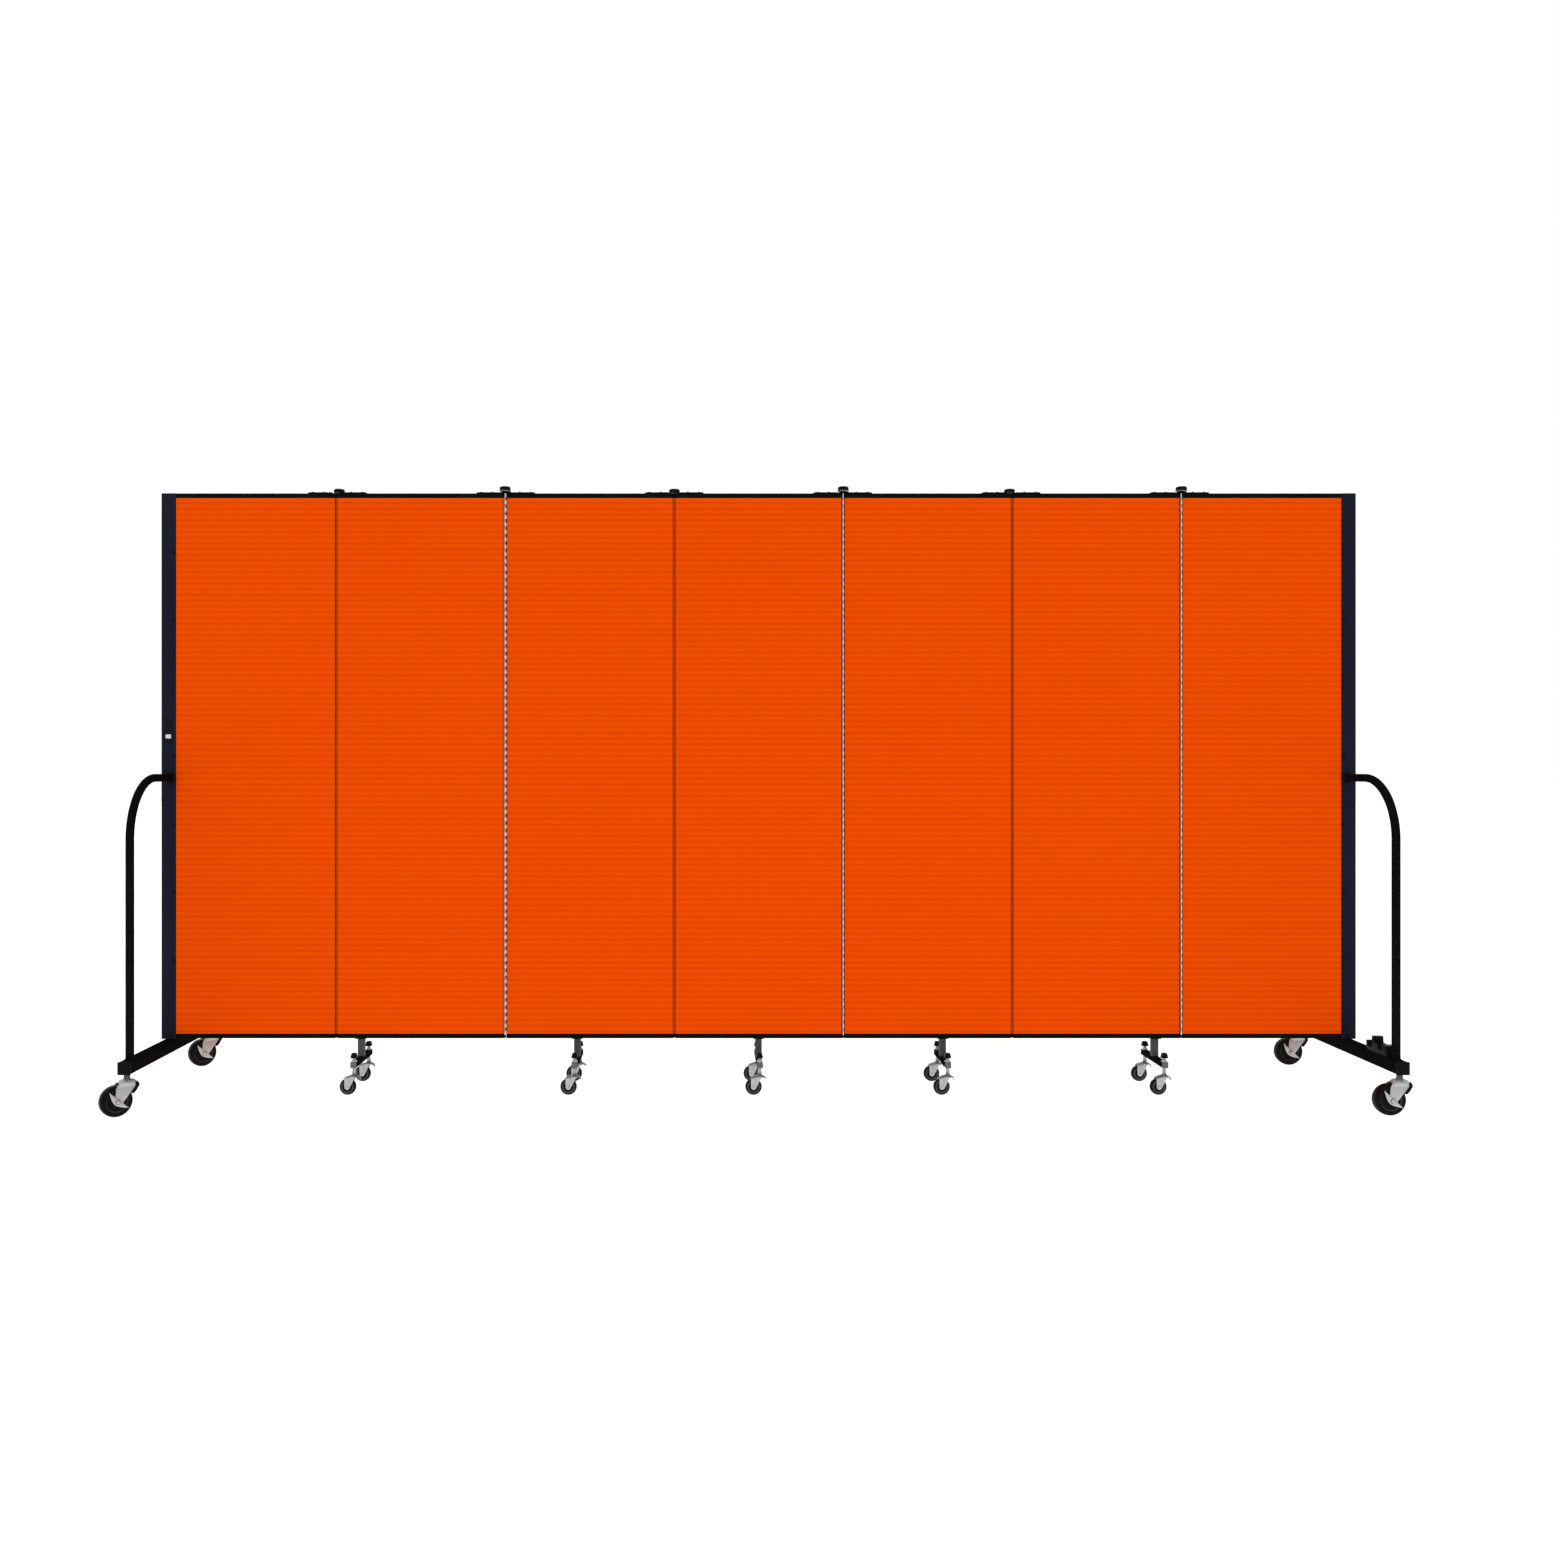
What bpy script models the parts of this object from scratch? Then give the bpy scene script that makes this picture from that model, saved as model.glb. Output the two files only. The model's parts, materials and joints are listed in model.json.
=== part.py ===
"""A free-standing folding welding screen: seven hinged panels on casters.

Metres, +Z up. The screen stands along X with its front towards -Y. The origin is on the floor,
below the centre of the middle panel. The hinges fold the panels alternately back and forward,
so the odd seams have their hinge barrel on the rear face and the even seams on the front face.
"""

import math

import bmesh
import bpy
from mathutils import Matrix, Vector

# ---- Overall sizes ----
PANELS = 7
PITCH = 0.5588  # from one seam to the next
SEAM_GAP = 0.009  # between the frames of two neighbours
END_REACH = 0.5786  # from the last seam to the outer face of the end post
PANEL_HEIGHT = 1.803
PANEL_OVER_BAR = 0.002  # from the foot bars' top up to the panels' underside
FRAME_DEPTH = 0.034
RAIL_HEIGHT = 0.015  # top and bottom rails
STILE = 0.002  # side lips of a frame
BOARD_DEPTH = 0.031
FIT = 0.0003  # between pieces that touch

# ---- Hinges ----
AXIS_PROUD = 0.003  # from a frame's face to the hinge axis
PIN_RADIUS = 0.0016
KNUCKLE_RADIUS = 0.0036
LEAF = 0.0012
LEAF_WIDTH = 0.012
KNUCKLES = 5
KNUCKLE_GAP = 0.001
BARREL_INSET = 0.012  # from a frame's ends to the barrel's ends
ARM_REACH = 0.097  # from the hinge axis along the top rail
ARM_WIDTH = 0.022
LUG = 0.0024  # thickness of each lug round the pin
LUG_RADIUS = 0.014
CAP_RADIUS = 0.019
CAP_HEIGHT = 0.020

# ---- End frames ----
POST_WIDTH = 0.048
POST_DEPTH = 0.038
BAR = 0.038  # square tube
BAR_LENGTH = 0.745
COLLAR_HEIGHT = 0.018  # stem collar between a large caster and its foot bar
BAR_INSET = 0.030  # from the post's outer face to the bar's centre
END_STEMS = 0.700  # front caster stem to rear caster stem
BRACE_RADIUS = 0.0127
BRACE_TOP = 1.030
BRACE_REACH = 0.330  # in front of the panels' middle
BRACE_BEND = 0.190
LABEL = (0.028, 0.0008, 0.085)
LABEL_HEIGHT = 1.182

# ---- Panel feet ----
FOOT_BAR = 0.019  # square tube
FOOT_STEM_SHOWN = 0.016  # stem between a small caster and its crossbar
FOOT_STEMS = 0.190  # front caster stem to rear caster stem
FOOT_END = 0.012  # from a stem to the end of its crossbar
FOOT_OFFSETS = {2: -0.200, 3: -0.042, 4: 0.0, 5: 0.052, 6: 0.197}
NUT_RISE = 0.013
NUT_HEIGHT = 0.015
NUT_RADIUS = 0.011
NUT_TOP_RADIUS = 0.0075

# ---- Casters: small ones on the panel feet, large ones on the end bars ----
# crown_gap is from the wheel's top to the hood. A leg's rear corner is given as how far it lies
# behind the axle and below the hood, its front corner as how far in front of the stem and below.
SMALL = {
    "wheel": 0.0268,
    "width": 0.020,
    "trail": 0.020,
    "stem": 0.006,
    "kingpin": 0.004,
    "hood": 0.0222,
    "crown_gap": 0.0044,
    "crown_rise": 0.0137,
    "leg_rear": (0.009, 0.0045),
    "leg_front": (0.006, 0.0100),
    "axle": 0.003,
    "leg": 0.002,
    "boss": 0.008,
    "chamfer": 0.0025,
    "sides": 16,
    "hood_sides": 12,
}
LARGE = {
    "wheel": 0.0480,
    "width": 0.032,
    "trail": 0.033,
    "stem": 0.010,
    "kingpin": 0.006,
    "hood": 0.0280,
    "crown_gap": 0.0068,
    "crown_rise": 0.0059,
    "leg_rear": (0.003, 0.0148),
    "leg_front": (0.021, 0.0078),
    "axle": 0.005,
    "leg": 0.0025,
    "boss": 0.012,
    "chamfer": 0.004,
    "sides": 24,
    "hood_sides": 16,
}
HUB_GAP = 0.001  # from a wheel's side to the fork's leg
LEG_ROOT = 0.64  # half the width of a leg where it meets the hood, as a share of the hood's radius
LEG_SINK = 0.0012  # how far a leg runs up into the hood
LEFT_SWIVEL = math.radians(40)  # the left end's casters stand turned towards the front
LEVER_HALF = 0.0385  # brake lever, centre to tip
LEVER_WIDTH = 0.022
LEVER_BEND = 0.007
LEVER_THICK = 0.004
LEVER_TILT = math.radians(38)

# ---- Worked out from the sizes above ----
MIDDLE = (PANELS + 1) // 2
HALF_LENGTH = (PANELS / 2 - 1) * PITCH + END_REACH
for caster in (SMALL, LARGE):
    caster["hood_base"] = 2 * caster["wheel"] + caster["crown_gap"]
    caster["hood_top"] = caster["hood_base"] + caster["crown_rise"]
COLLAR_BASE = LARGE["hood_top"] + FIT
BAR_BASE = COLLAR_BASE + COLLAR_HEIGHT
BAR_TOP = BAR_BASE + BAR
FLOOR_GAP = BAR_TOP + PANEL_OVER_BAR
FOOT_BAR_BASE = SMALL["hood_top"] + FIT + FOOT_STEM_SHOWN
FOOT_BAR_TOP = FOOT_BAR_BASE + FOOT_BAR
PANEL_TOP = FLOOR_GAP + PANEL_HEIGHT
AXIS_OUT = FRAME_DEPTH / 2 + AXIS_PROUD
BAR_X = HALF_LENGTH - BAR_INSET

BLACK = (0.012, 0.013, 0.018, 1.0)
ORANGE = (0.86, 0.085, 0.004, 1.0)
ZINC = (0.62, 0.63, 0.62, 1.0)
TYRE = (0.015, 0.015, 0.016, 1.0)
WHITE = (0.75, 0.75, 0.73, 1.0)


def clear_scene():
    for obj in list(bpy.data.objects):
        bpy.data.objects.remove(obj, do_unlink=True)


def new_collection(name):
    group = bpy.data.collections.new(name)
    bpy.context.scene.collection.children.link(group)
    return group


def paint(name, colour, roughness, metallic):
    """A Principled material for one kind of sub-part."""
    material = bpy.data.materials.get(name)
    if material is None:
        material = bpy.data.materials.new(name)
        material.use_nodes = True
        shader = material.node_tree.nodes["Principled BSDF"]
        shader.inputs["Base Color"].default_value = colour
        shader.inputs["Roughness"].default_value = roughness
        shader.inputs["Metallic"].default_value = metallic
    return material


# ---- Shapes ----
def object_from(work, name="shape"):
    """An object made from a bmesh, which is freed."""
    bmesh.ops.recalc_face_normals(work, faces=work.faces)
    mesh = bpy.data.meshes.new(name)
    work.to_mesh(mesh)
    work.free()
    obj = bpy.data.objects.new(name, mesh)
    PARTS.objects.link(obj)
    return obj


def box(low, high):
    """A block between two opposite corners."""
    low, high = Vector(low), Vector(high)
    work = bmesh.new()
    place = Matrix.LocRotScale((low + high) / 2, None, high - low)
    bmesh.ops.create_cube(work, size=1.0, matrix=place)
    return object_from(work)


def rod(start, end, radius, end_radius=None, sides=12):
    """A cylinder or cone between two points."""
    start, end = Vector(start), Vector(end)
    along = end - start
    turn = Vector((0, 0, 1)).rotation_difference(along).to_matrix().to_4x4()
    work = bmesh.new()
    bmesh.ops.create_cone(
        work,
        cap_ends=True,
        segments=sides,
        radius1=radius,
        radius2=radius if end_radius is None else end_radius,
        depth=along.length,
        matrix=Matrix.Translation((start + end) / 2) @ turn,
    )
    return object_from(work)


def baked(obj):
    """The object with its modifiers worked into its mesh."""
    graph = bpy.context.evaluated_depsgraph_get()
    mesh = bpy.data.meshes.new_from_object(obj.evaluated_get(graph))
    old = obj.data
    obj.modifiers.clear()
    obj.data = mesh
    bpy.data.meshes.remove(old)
    return obj


def turned(outline, sides, closed=False):
    """A shape turned about Z from (radius, height) points that run down its outer side."""
    work = bmesh.new()
    verts = [work.verts.new((radius, 0, height)) for radius, height in outline]
    for first, second in zip(verts, verts[1:]):
        work.edges.new((first, second))
    if closed:
        work.edges.new((verts[-1], verts[0]))
    mesh = bpy.data.meshes.new("outline")
    work.to_mesh(mesh)
    work.free()
    obj = bpy.data.objects.new("turned", mesh)
    PARTS.objects.link(obj)
    screw = obj.modifiers.new("turn", "SCREW")
    screw.steps = sides
    screw.render_steps = sides
    screw.use_merge_vertices = True
    screw.merge_threshold = 0.00001
    baked(obj)
    work = bmesh.new()
    work.from_mesh(obj.data)
    bmesh.ops.recalc_face_normals(work, faces=work.faces)
    work.to_mesh(obj.data)
    work.free()
    return obj


def mesh_of_curve(curve):
    """A curve object made into a closed mesh object, and the curve removed."""
    PARTS.objects.link(curve)
    graph = bpy.context.evaluated_depsgraph_get()
    mesh = bpy.data.meshes.new_from_object(curve.evaluated_get(graph))
    work = bmesh.new()
    work.from_mesh(mesh)
    work.transform(curve.matrix_world)
    bmesh.ops.remove_doubles(work, verts=work.verts, dist=0.000001)
    bpy.data.meshes.remove(mesh)
    bpy.data.objects.remove(curve, do_unlink=True)
    return object_from(work)


def spline_of(data, points, closed):
    spline = data.splines.new("POLY")
    spline.points.add(len(points) - 1)
    for point, where in zip(spline.points, points):
        point.co = (*where, 1)
    spline.use_cyclic_u = closed


def upright_plate(outline, front, back):
    """A flat outline of (x, z) points, as a plate from y = front to y = back."""
    data = bpy.data.curves.new("plate", "CURVE")
    data.dimensions = "2D"
    data.fill_mode = "BOTH"
    data.extrude = (back - front) / 2
    spline_of(data, [(x, z, 0) for x, z in outline], True)
    curve = bpy.data.objects.new("plate", data)
    curve.matrix_world = Matrix.Translation((0, (front + back) / 2, 0)) @ Matrix.Rotation(
        math.pi / 2, 4, "X"
    )
    return mesh_of_curve(curve)


def joined(first, *others):
    """One solid from several that overlap."""
    for other in others:
        union = first.modifiers.new("join", "BOOLEAN")
        union.operation = "UNION"
        union.object = other
        baked(first)
        bpy.data.objects.remove(other, do_unlink=True)
    return first


def bored(obj, *cutters):
    """The object with holes where the cutters are. The cutters stay as hidden guides."""
    for cutter in cutters:
        cut = obj.modifiers.new("bore", "BOOLEAN")
        cut.operation = "DIFFERENCE"
        cut.object = cutter
        if cutter.name in PARTS.objects:
            PARTS.objects.unlink(cutter)
            CUTTERS.objects.link(cutter)
            cutter.name = "bore_cutter"
            cutter.hide_render = True
            cutter.display_type = "WIRE"
    return obj


def finish(obj, name, origin, pivot, material):
    """Name a piece that was built in place, put its origin on its axis and hang it on its pivot."""
    origin = Vector(origin)
    obj.name = name
    obj.data.name = name
    obj.data.transform(Matrix.Translation(-origin))
    return hang(obj, origin, pivot, material)


def hang(obj, origin, pivot, material):
    """Place a piece whose mesh is already about its own origin."""
    obj.data.materials.clear()
    obj.data.materials.append(material)
    obj.data.shade_smooth()
    obj.data.set_sharp_from_angle(angle=math.radians(35))
    obj.parent = pivot
    obj.location = Vector(origin) - world_place(pivot)
    return obj


def world_place(pivot):
    """Where an empty stands. No empty is turned, so the places add up."""
    where = Vector((0, 0, 0))
    while pivot is not None:
        where += pivot.location
        pivot = pivot.parent
    return where


def new_pivot(name, where, parent):
    empty = bpy.data.objects.new(name, None)
    PARTS.objects.link(empty)
    empty.empty_display_size = 0.05
    empty.parent = parent
    empty.location = Vector(where) - world_place(parent)
    return empty


# ---- Where the panels and hinges are ----
def seam_x(seam):
    """Seam k lies between panel k and panel k + 1."""
    return (seam + 0.5 - MIDDLE) * PITCH


def axis_y(seam):
    """Odd seams have their hinge on the rear face, even seams on the front face."""
    return AXIS_OUT if seam % 2 else -AXIS_OUT


def panel_sides(panel):
    """The left and right edges of a panel's frame."""
    left = seam_x(panel - 1) + SEAM_GAP / 2
    right = seam_x(panel) - SEAM_GAP / 2
    if panel == 1:
        left = -HALF_LENGTH + POST_WIDTH + FIT
    if panel == PANELS:
        right = HALF_LENGTH - POST_WIDTH - FIT
    return left, right


def foot_x(panel):
    return (panel - MIDDLE) * PITCH + FOOT_OFFSETS[panel]


def make_pivots():
    """One empty per panel on its hinge axis, each hung on its neighbour nearer the middle."""
    pivots = {MIDDLE: new_pivot("panel_%d_pivot" % MIDDLE, (0, 0, 0), None)}
    for panel in range(MIDDLE - 1, 0, -1):
        where = (seam_x(panel), axis_y(panel), 0)
        pivots[panel] = new_pivot("panel_%d_pivot" % panel, where, pivots[panel + 1])
    for panel in range(MIDDLE + 1, PANELS + 1):
        where = (seam_x(panel - 1), axis_y(panel - 1), 0)
        pivots[panel] = new_pivot("panel_%d_pivot" % panel, where, pivots[panel - 1])
    return pivots


# ---- Panels ----
def knuckle_heights(seam_side):
    """The stretches of barrel on one leaf: side 0 is the panel left of the seam, 1 the right."""
    low = FLOOR_GAP + BARREL_INSET
    step = (PANEL_HEIGHT - 2 * BARREL_INSET) / KNUCKLES
    for turn in range(seam_side, KNUCKLES, 2):
        yield low + turn * step + KNUCKLE_GAP / 2, low + (turn + 1) * step - KNUCKLE_GAP / 2


def hinge_half(seam, seam_side):
    """The leaf, knuckles and top arm that one panel has at a seam."""
    x, y = seam_x(seam), axis_y(seam)
    side = 1 if seam_side else -1
    out = math.copysign(1, y)
    near, far = x + side * (SEAM_GAP / 2 - LEAF), x + side * (SEAM_GAP / 2 + STILE / 2)
    edge = out * (FRAME_DEPTH / 2 - 0.002)
    pieces = [
        sorted_box((near, edge, FLOOR_GAP), (far, edge - out * LEAF_WIDTH, PANEL_TOP))
    ]
    for low, high in knuckle_heights(seam_side):
        reach = x + side * SEAM_GAP / 2
        pieces.append(sorted_box((near, edge - out * 0.001, low), (reach, y, high)))
        pieces.append(rod((x, y, low), (x, y, high), KNUCKLE_RADIUS, sides=10))
    base = PANEL_TOP + FIT + seam_side * (LUG + FIT)
    block = LUG_RADIUS + 0.002
    inner, outer = x + side * block, x + side * ARM_REACH
    half = ARM_WIDTH / 2
    arm_top = PANEL_TOP + 2 * (LUG + FIT)
    pieces.append(sorted_box((inner, -half, PANEL_TOP - 0.001), (outer, half, arm_top)))
    neck = y - out * (LUG_RADIUS + 0.010)
    pieces.append(sorted_box((x, neck, base), (inner + side * 0.002, y, base + LUG)))
    pieces.append(rod((x, y, base), (x, y, base + LUG), LUG_RADIUS, sides=16))
    return pieces


def sorted_box(first, second):
    low = [min(pair) for pair in zip(first, second)]
    high = [max(pair) for pair in zip(first, second)]
    return box(low, high)


def hinge_bore(seam):
    """The hole for a hinge's pin, past both ends of the barrel and through both lugs."""
    x, y = seam_x(seam), axis_y(seam)
    return rod((x, y, FLOOR_GAP - 0.01), (x, y, PANEL_TOP + 0.02), PIN_RADIUS + FIT, sides=8)


def panel_foot(x):
    """The short post, crossbar, caster stems and nuts under a panel's bottom rail."""
    half = FOOT_BAR / 2
    reach = FOOT_STEMS / 2 + FOOT_END
    pieces = [
        box((x - half, -half, FOOT_BAR_TOP - 0.001), (x + half, half, FLOOR_GAP + 0.001)),
        box((x - half, -reach, FOOT_BAR_BASE), (x + half, reach, FOOT_BAR_TOP)),
    ]
    shoulder = SMALL["hood_top"] + FIT
    tip = SMALL["hood_base"] + 0.001
    nut_base = FOOT_BAR_TOP + NUT_RISE
    nut_top = nut_base + NUT_HEIGHT
    for y in (-FOOT_STEMS / 2, FOOT_STEMS / 2):
        pieces.append(rod((x, y, shoulder), (x, y, FOOT_BAR_BASE + 0.001), SMALL["stem"], sides=8))
        pieces.append(rod((x, y, tip), (x, y, shoulder + 0.001), SMALL["kingpin"], sides=8))
        low = (x, y, FOOT_BAR_TOP - 0.001)
        pieces.append(rod(low, (x, y, nut_base + 0.001), SMALL["kingpin"], sides=8))
        pieces.append(
            rod((x, y, nut_base), (x, y, nut_top), NUT_RADIUS, NUT_TOP_RADIUS, sides=6)
        )
    return pieces


def panel_frame(panel, pivot, bores):
    left, right = panel_sides(panel)
    half = FRAME_DEPTH / 2
    inner_low, inner_high = FLOOR_GAP + RAIL_HEIGHT, PANEL_TOP - RAIL_HEIGHT
    pieces = [
        box((left, -half, FLOOR_GAP), (right, half, inner_low)),
        box((left, -half, inner_high), (right, half, PANEL_TOP)),
        box((left, -half, inner_low - 0.001), (left + STILE, half, inner_high + 0.001)),
        box((right - STILE, -half, inner_low - 0.001), (right, half, inner_high + 0.001)),
    ]
    cutters = []
    if panel > 1:
        pieces += hinge_half(panel - 1, 1)
        cutters.append(bores[panel - 1])
    if panel < PANELS:
        pieces += hinge_half(panel, 0)
        cutters.append(bores[panel])
    if panel in FOOT_OFFSETS:
        pieces += panel_foot(foot_x(panel))
    frame = joined(*pieces)
    finish(frame, "panel_%d_frame" % panel, world_place(pivot), pivot, paint_black())
    return bored(frame, *cutters)


def panel_board(panel, pivot):
    left, right = panel_sides(panel)
    inset = STILE + FIT
    board = box(
        (left + inset, -BOARD_DEPTH / 2, FLOOR_GAP + RAIL_HEIGHT + FIT),
        (right - inset, BOARD_DEPTH / 2, PANEL_TOP - RAIL_HEIGHT - FIT),
    )
    orange = paint("orange board", ORANGE, 0.55, 0.0)
    return finish(board, "panel_%d_board" % panel, world_place(pivot), pivot, orange)


def hinge_pin(seam, pivot):
    """The pin through a hinge's barrel, with the round cap on its top."""
    x, y = seam_x(seam), axis_y(seam)
    seat = PANEL_TOP + 2 * (LUG + FIT) + FIT
    pin_low = (x, y, FLOOR_GAP + BARREL_INSET)
    pin = rod(pin_low, (x, y, seat + 0.002), PIN_RADIUS, sides=8)
    top = seat + CAP_HEIGHT
    outline = [
        (0, top),
        (CAP_RADIUS * 0.62, top),
        (CAP_RADIUS * 0.86, top - CAP_HEIGHT * 0.16),
        (CAP_RADIUS * 0.90, top - CAP_HEIGHT * 0.55),
        (CAP_RADIUS, seat),
        (0, seat),
    ]
    cap = turned(outline, 16)
    cap.data.transform(Matrix.Translation((x, y, 0)))
    return finish(joined(cap, pin), "hinge_%d_pin" % seam, (x, y, seat), pivot, paint_black())


def paint_black():
    return paint("black painted steel", BLACK, 0.42, 0.3)


# ---- End frames ----
def end_post(side, pivot):
    outer, inner = side * HALF_LENGTH, side * (HALF_LENGTH - POST_WIDTH)
    half = POST_DEPTH / 2
    post = sorted_box((outer, -half, BAR_TOP + FIT), (inner, half, PANEL_TOP))
    name = "end_post_left" if side < 0 else "end_post_right"
    return finish(post, name, world_place(pivot), pivot, paint_black())


def end_bar(side, pivot):
    """The square bar across an end's foot, with the collar and kingpin of each caster."""
    x = side * BAR_X
    bar = box((x - BAR / 2, -BAR_LENGTH / 2, BAR_BASE), (x + BAR / 2, BAR_LENGTH / 2, BAR_TOP))
    tip = LARGE["hood_base"] - 0.002
    for y in (-END_STEMS / 2, END_STEMS / 2):
        collar = rod((x, y, COLLAR_BASE), (x, y, BAR_BASE + 0.001), LARGE["stem"], sides=16)
        kingpin = rod((x, y, tip), (x, y, COLLAR_BASE + 0.001), LARGE["kingpin"])
        bar = joined(bar, collar, kingpin)
    name = "foot_bar_left" if side < 0 else "foot_bar_right"
    return finish(bar, name, world_place(pivot), pivot, paint_black())


def brace_route(x):
    """Forward from the post, round one bend and down to the foot bar."""
    bend_y, bend_z = -BRACE_REACH + BRACE_BEND, BRACE_TOP - BRACE_BEND
    points = [(x, -POST_DEPTH / 2 - FIT, BRACE_TOP)]
    steps = 8
    for step in range(steps + 1):
        angle = math.pi / 2 * step / steps
        along, up = BRACE_BEND * math.sin(angle), BRACE_BEND * math.cos(angle)
        points.append((x, bend_y - along, bend_z + up))
    points.append((x, -BRACE_REACH, BAR_TOP + FIT))
    return points


def brace_tube(side, pivot):
    data = bpy.data.curves.new("brace", "CURVE")
    data.dimensions = "3D"
    data.bevel_depth = BRACE_RADIUS
    data.bevel_resolution = 3
    data.use_fill_caps = True
    spline_of(data, brace_route(side * BAR_X), False)
    tube = mesh_of_curve(bpy.data.objects.new("brace", data))
    name = "brace_tube_left" if side < 0 else "brace_tube_right"
    return finish(tube, name, world_place(pivot), pivot, paint_black())


def storage_clip(pivot):
    """The stepped clip on the right foot bar that holds the folded screen."""
    half = BAR / 2 - 0.004
    steps = ((-0.300, -0.175, 0.011), (-0.205, -0.175, 0.024), (-0.250, -0.218, 0.043))
    base = BAR_TOP + FIT
    blocks = [
        box((BAR_X - half, front, base), (BAR_X + half, back, base + rise))
        for front, back, rise in steps
    ]
    blocks.append(box((BAR_X - half, -0.300, base), (BAR_X + half, -0.268, base + 0.034)))
    clip = joined(*blocks)
    plastic = paint("black plastic", BLACK, 0.5, 0.0)
    return finish(clip, "storage_clip", world_place(pivot), pivot, plastic)


def blank_label(pivot):
    wide, thick, tall = LABEL
    x = -HALF_LENGTH + POST_WIDTH / 2
    front = -POST_DEPTH / 2 - FIT - thick
    low = (x - wide / 2, front, LABEL_HEIGHT - tall / 2)
    label = box(low, (x + wide / 2, front + thick, LABEL_HEIGHT + tall / 2))
    white = paint("blank label", WHITE, 0.6, 0.0)
    return finish(label, "blank_label", world_place(pivot), pivot, white)


# ---- Casters ----
def leg_outline(size, steps=4):
    """One fork leg, seen from its side: broad under the hood, round at the axle."""
    axle = Vector((-size["trail"], size["wheel"]))
    (back, back_drop), (ahead, ahead_drop) = size["leg_rear"], size["leg_front"]
    front = Vector((ahead, size["hood_base"] - ahead_drop))
    rear = Vector((-size["trail"] - back, size["hood_base"] - back_drop))
    angles = []
    for corner, side in ((front, -1), (rear, 1)):
        away = corner - axle
        lean = math.atan2(away.y, away.x)
        angles.append(lean + side * math.acos(size["boss"] / away.length))
    start, end = angles[0] % math.tau, angles[1] % math.tau
    sweep = (start - end) % math.tau
    root = size["hood"] * LEG_ROOT
    top = size["hood_base"] + LEG_SINK
    points = [(root, top), tuple(front)]
    for step in range(steps + 1):
        angle = start - sweep * step / steps
        points.append(tuple(axle + size["boss"] * Vector((math.cos(angle), math.sin(angle)))))
    points += [tuple(rear), (-root, top)]
    return points


def caster_fork(size, stub=0.0):
    """Hood, two legs and axle about the stem's axis, trailing towards -X."""
    top, base, hood = size["hood_top"], size["hood_base"], size["hood"]
    bore = size["kingpin"] + FIT
    rise = top - base
    outline = [
        (bore, top),
        (hood * 0.50, top),
        (hood * 0.86, base + rise * 0.62),
        (hood, base),
        (bore, base),
    ]
    fork = turned(outline, size["hood_sides"], closed=True)
    near = size["width"] / 2 + HUB_GAP
    far = near + size["leg"]
    for front, back in ((-far, -near), (near, far)):
        fork = joined(fork, upright_plate(leg_outline(size), front, back))
    where = (-size["trail"], size["wheel"])
    start = (where[0], -far - 0.0015 - stub, where[1])
    axle = rod(start, (where[0], far + 0.0015, where[1]), size["axle"], sides=8)
    return joined(fork, axle)


def caster_wheel(size):
    """A wheel about its own axle, which lies along Y."""
    outer, half, chamfer = size["wheel"], size["width"] / 2, size["chamfer"]
    bore = size["axle"] + FIT
    outline = [
        (bore, half),
        (outer - chamfer, half),
        (outer, half - chamfer),
        (outer, chamfer - half),
        (outer - chamfer, -half),
        (bore, -half),
    ]
    wheel = turned(outline, size["sides"], closed=True)
    wheel.data.transform(Matrix.Rotation(math.pi / 2, 4, "X"))
    return wheel


def brake_lever():
    """A crescent with two wings about the axle, in front of the fork."""
    steps = 8
    upper, lower = [], []
    for step in range(steps + 1):
        t = 2 * step / steps - 1
        middle = LEVER_BEND * t * t
        half = LEVER_WIDTH / 2 * math.sqrt(1 - 0.96 * t * t)
        upper.append((LEVER_HALF * t, middle + half))
        lower.append((LEVER_HALF * t, middle - half))
    outline = upper + lower[::-1]
    far = LARGE["width"] / 2 + HUB_GAP + LARGE["leg"]
    plate = upright_plate(outline, -far - FIT - LEVER_THICK, -far - FIT)
    hole = rod((0, -far - 0.02, 0), (0, 0, 0), LARGE["axle"] + FIT)
    cut = plate.modifiers.new("bore", "BOOLEAN")
    cut.operation = "DIFFERENCE"
    cut.object = hole
    baked(plate)
    bpy.data.objects.remove(hole, do_unlink=True)
    plate.data.transform(Matrix.Rotation(LEVER_TILT, 4, "Y"))
    return plate


def caster_set(size, name, x, y, pivot, turn, masters):
    """One caster under a stem: the swivel's empty, then fork, wheel and any brake lever."""
    swivel = new_pivot(name + "_swivel", (x, y, 0), pivot)
    zinc = paint("zinc plated steel", ZINC, 0.35, 0.9)
    black = paint("black wheel", TYRE, 0.6, 0.0)
    axle = Matrix.Rotation(turn, 4, "Z") @ Vector((-size["trail"], 0, size["wheel"]))
    places = {
        "fork": ((0, 0, 0), zinc),
        "wheel": (axle, black),
        "brake": (axle, zinc),
    }
    for piece, master in masters.items():
        where, material = places[piece]
        obj = bpy.data.objects.new("%s_%s" % (name, piece), master.data)
        PARTS.objects.link(obj)
        hang(obj, Vector((x, y, 0)) + Vector(where), swivel, material)
        obj.rotation_euler = (0, 0, turn)


def small_casters(pivots):
    masters = {"fork": caster_fork(SMALL), "wheel": caster_wheel(SMALL)}
    for panel in FOOT_OFFSETS:
        for end, side in (("front", -1), ("rear", 1)):
            name = "foot_%d_%s" % (panel, end)
            y = side * FOOT_STEMS / 2
            caster_set(SMALL, name, foot_x(panel), y, pivots[panel], 0.0, masters)
    remove_all(masters)


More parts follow.
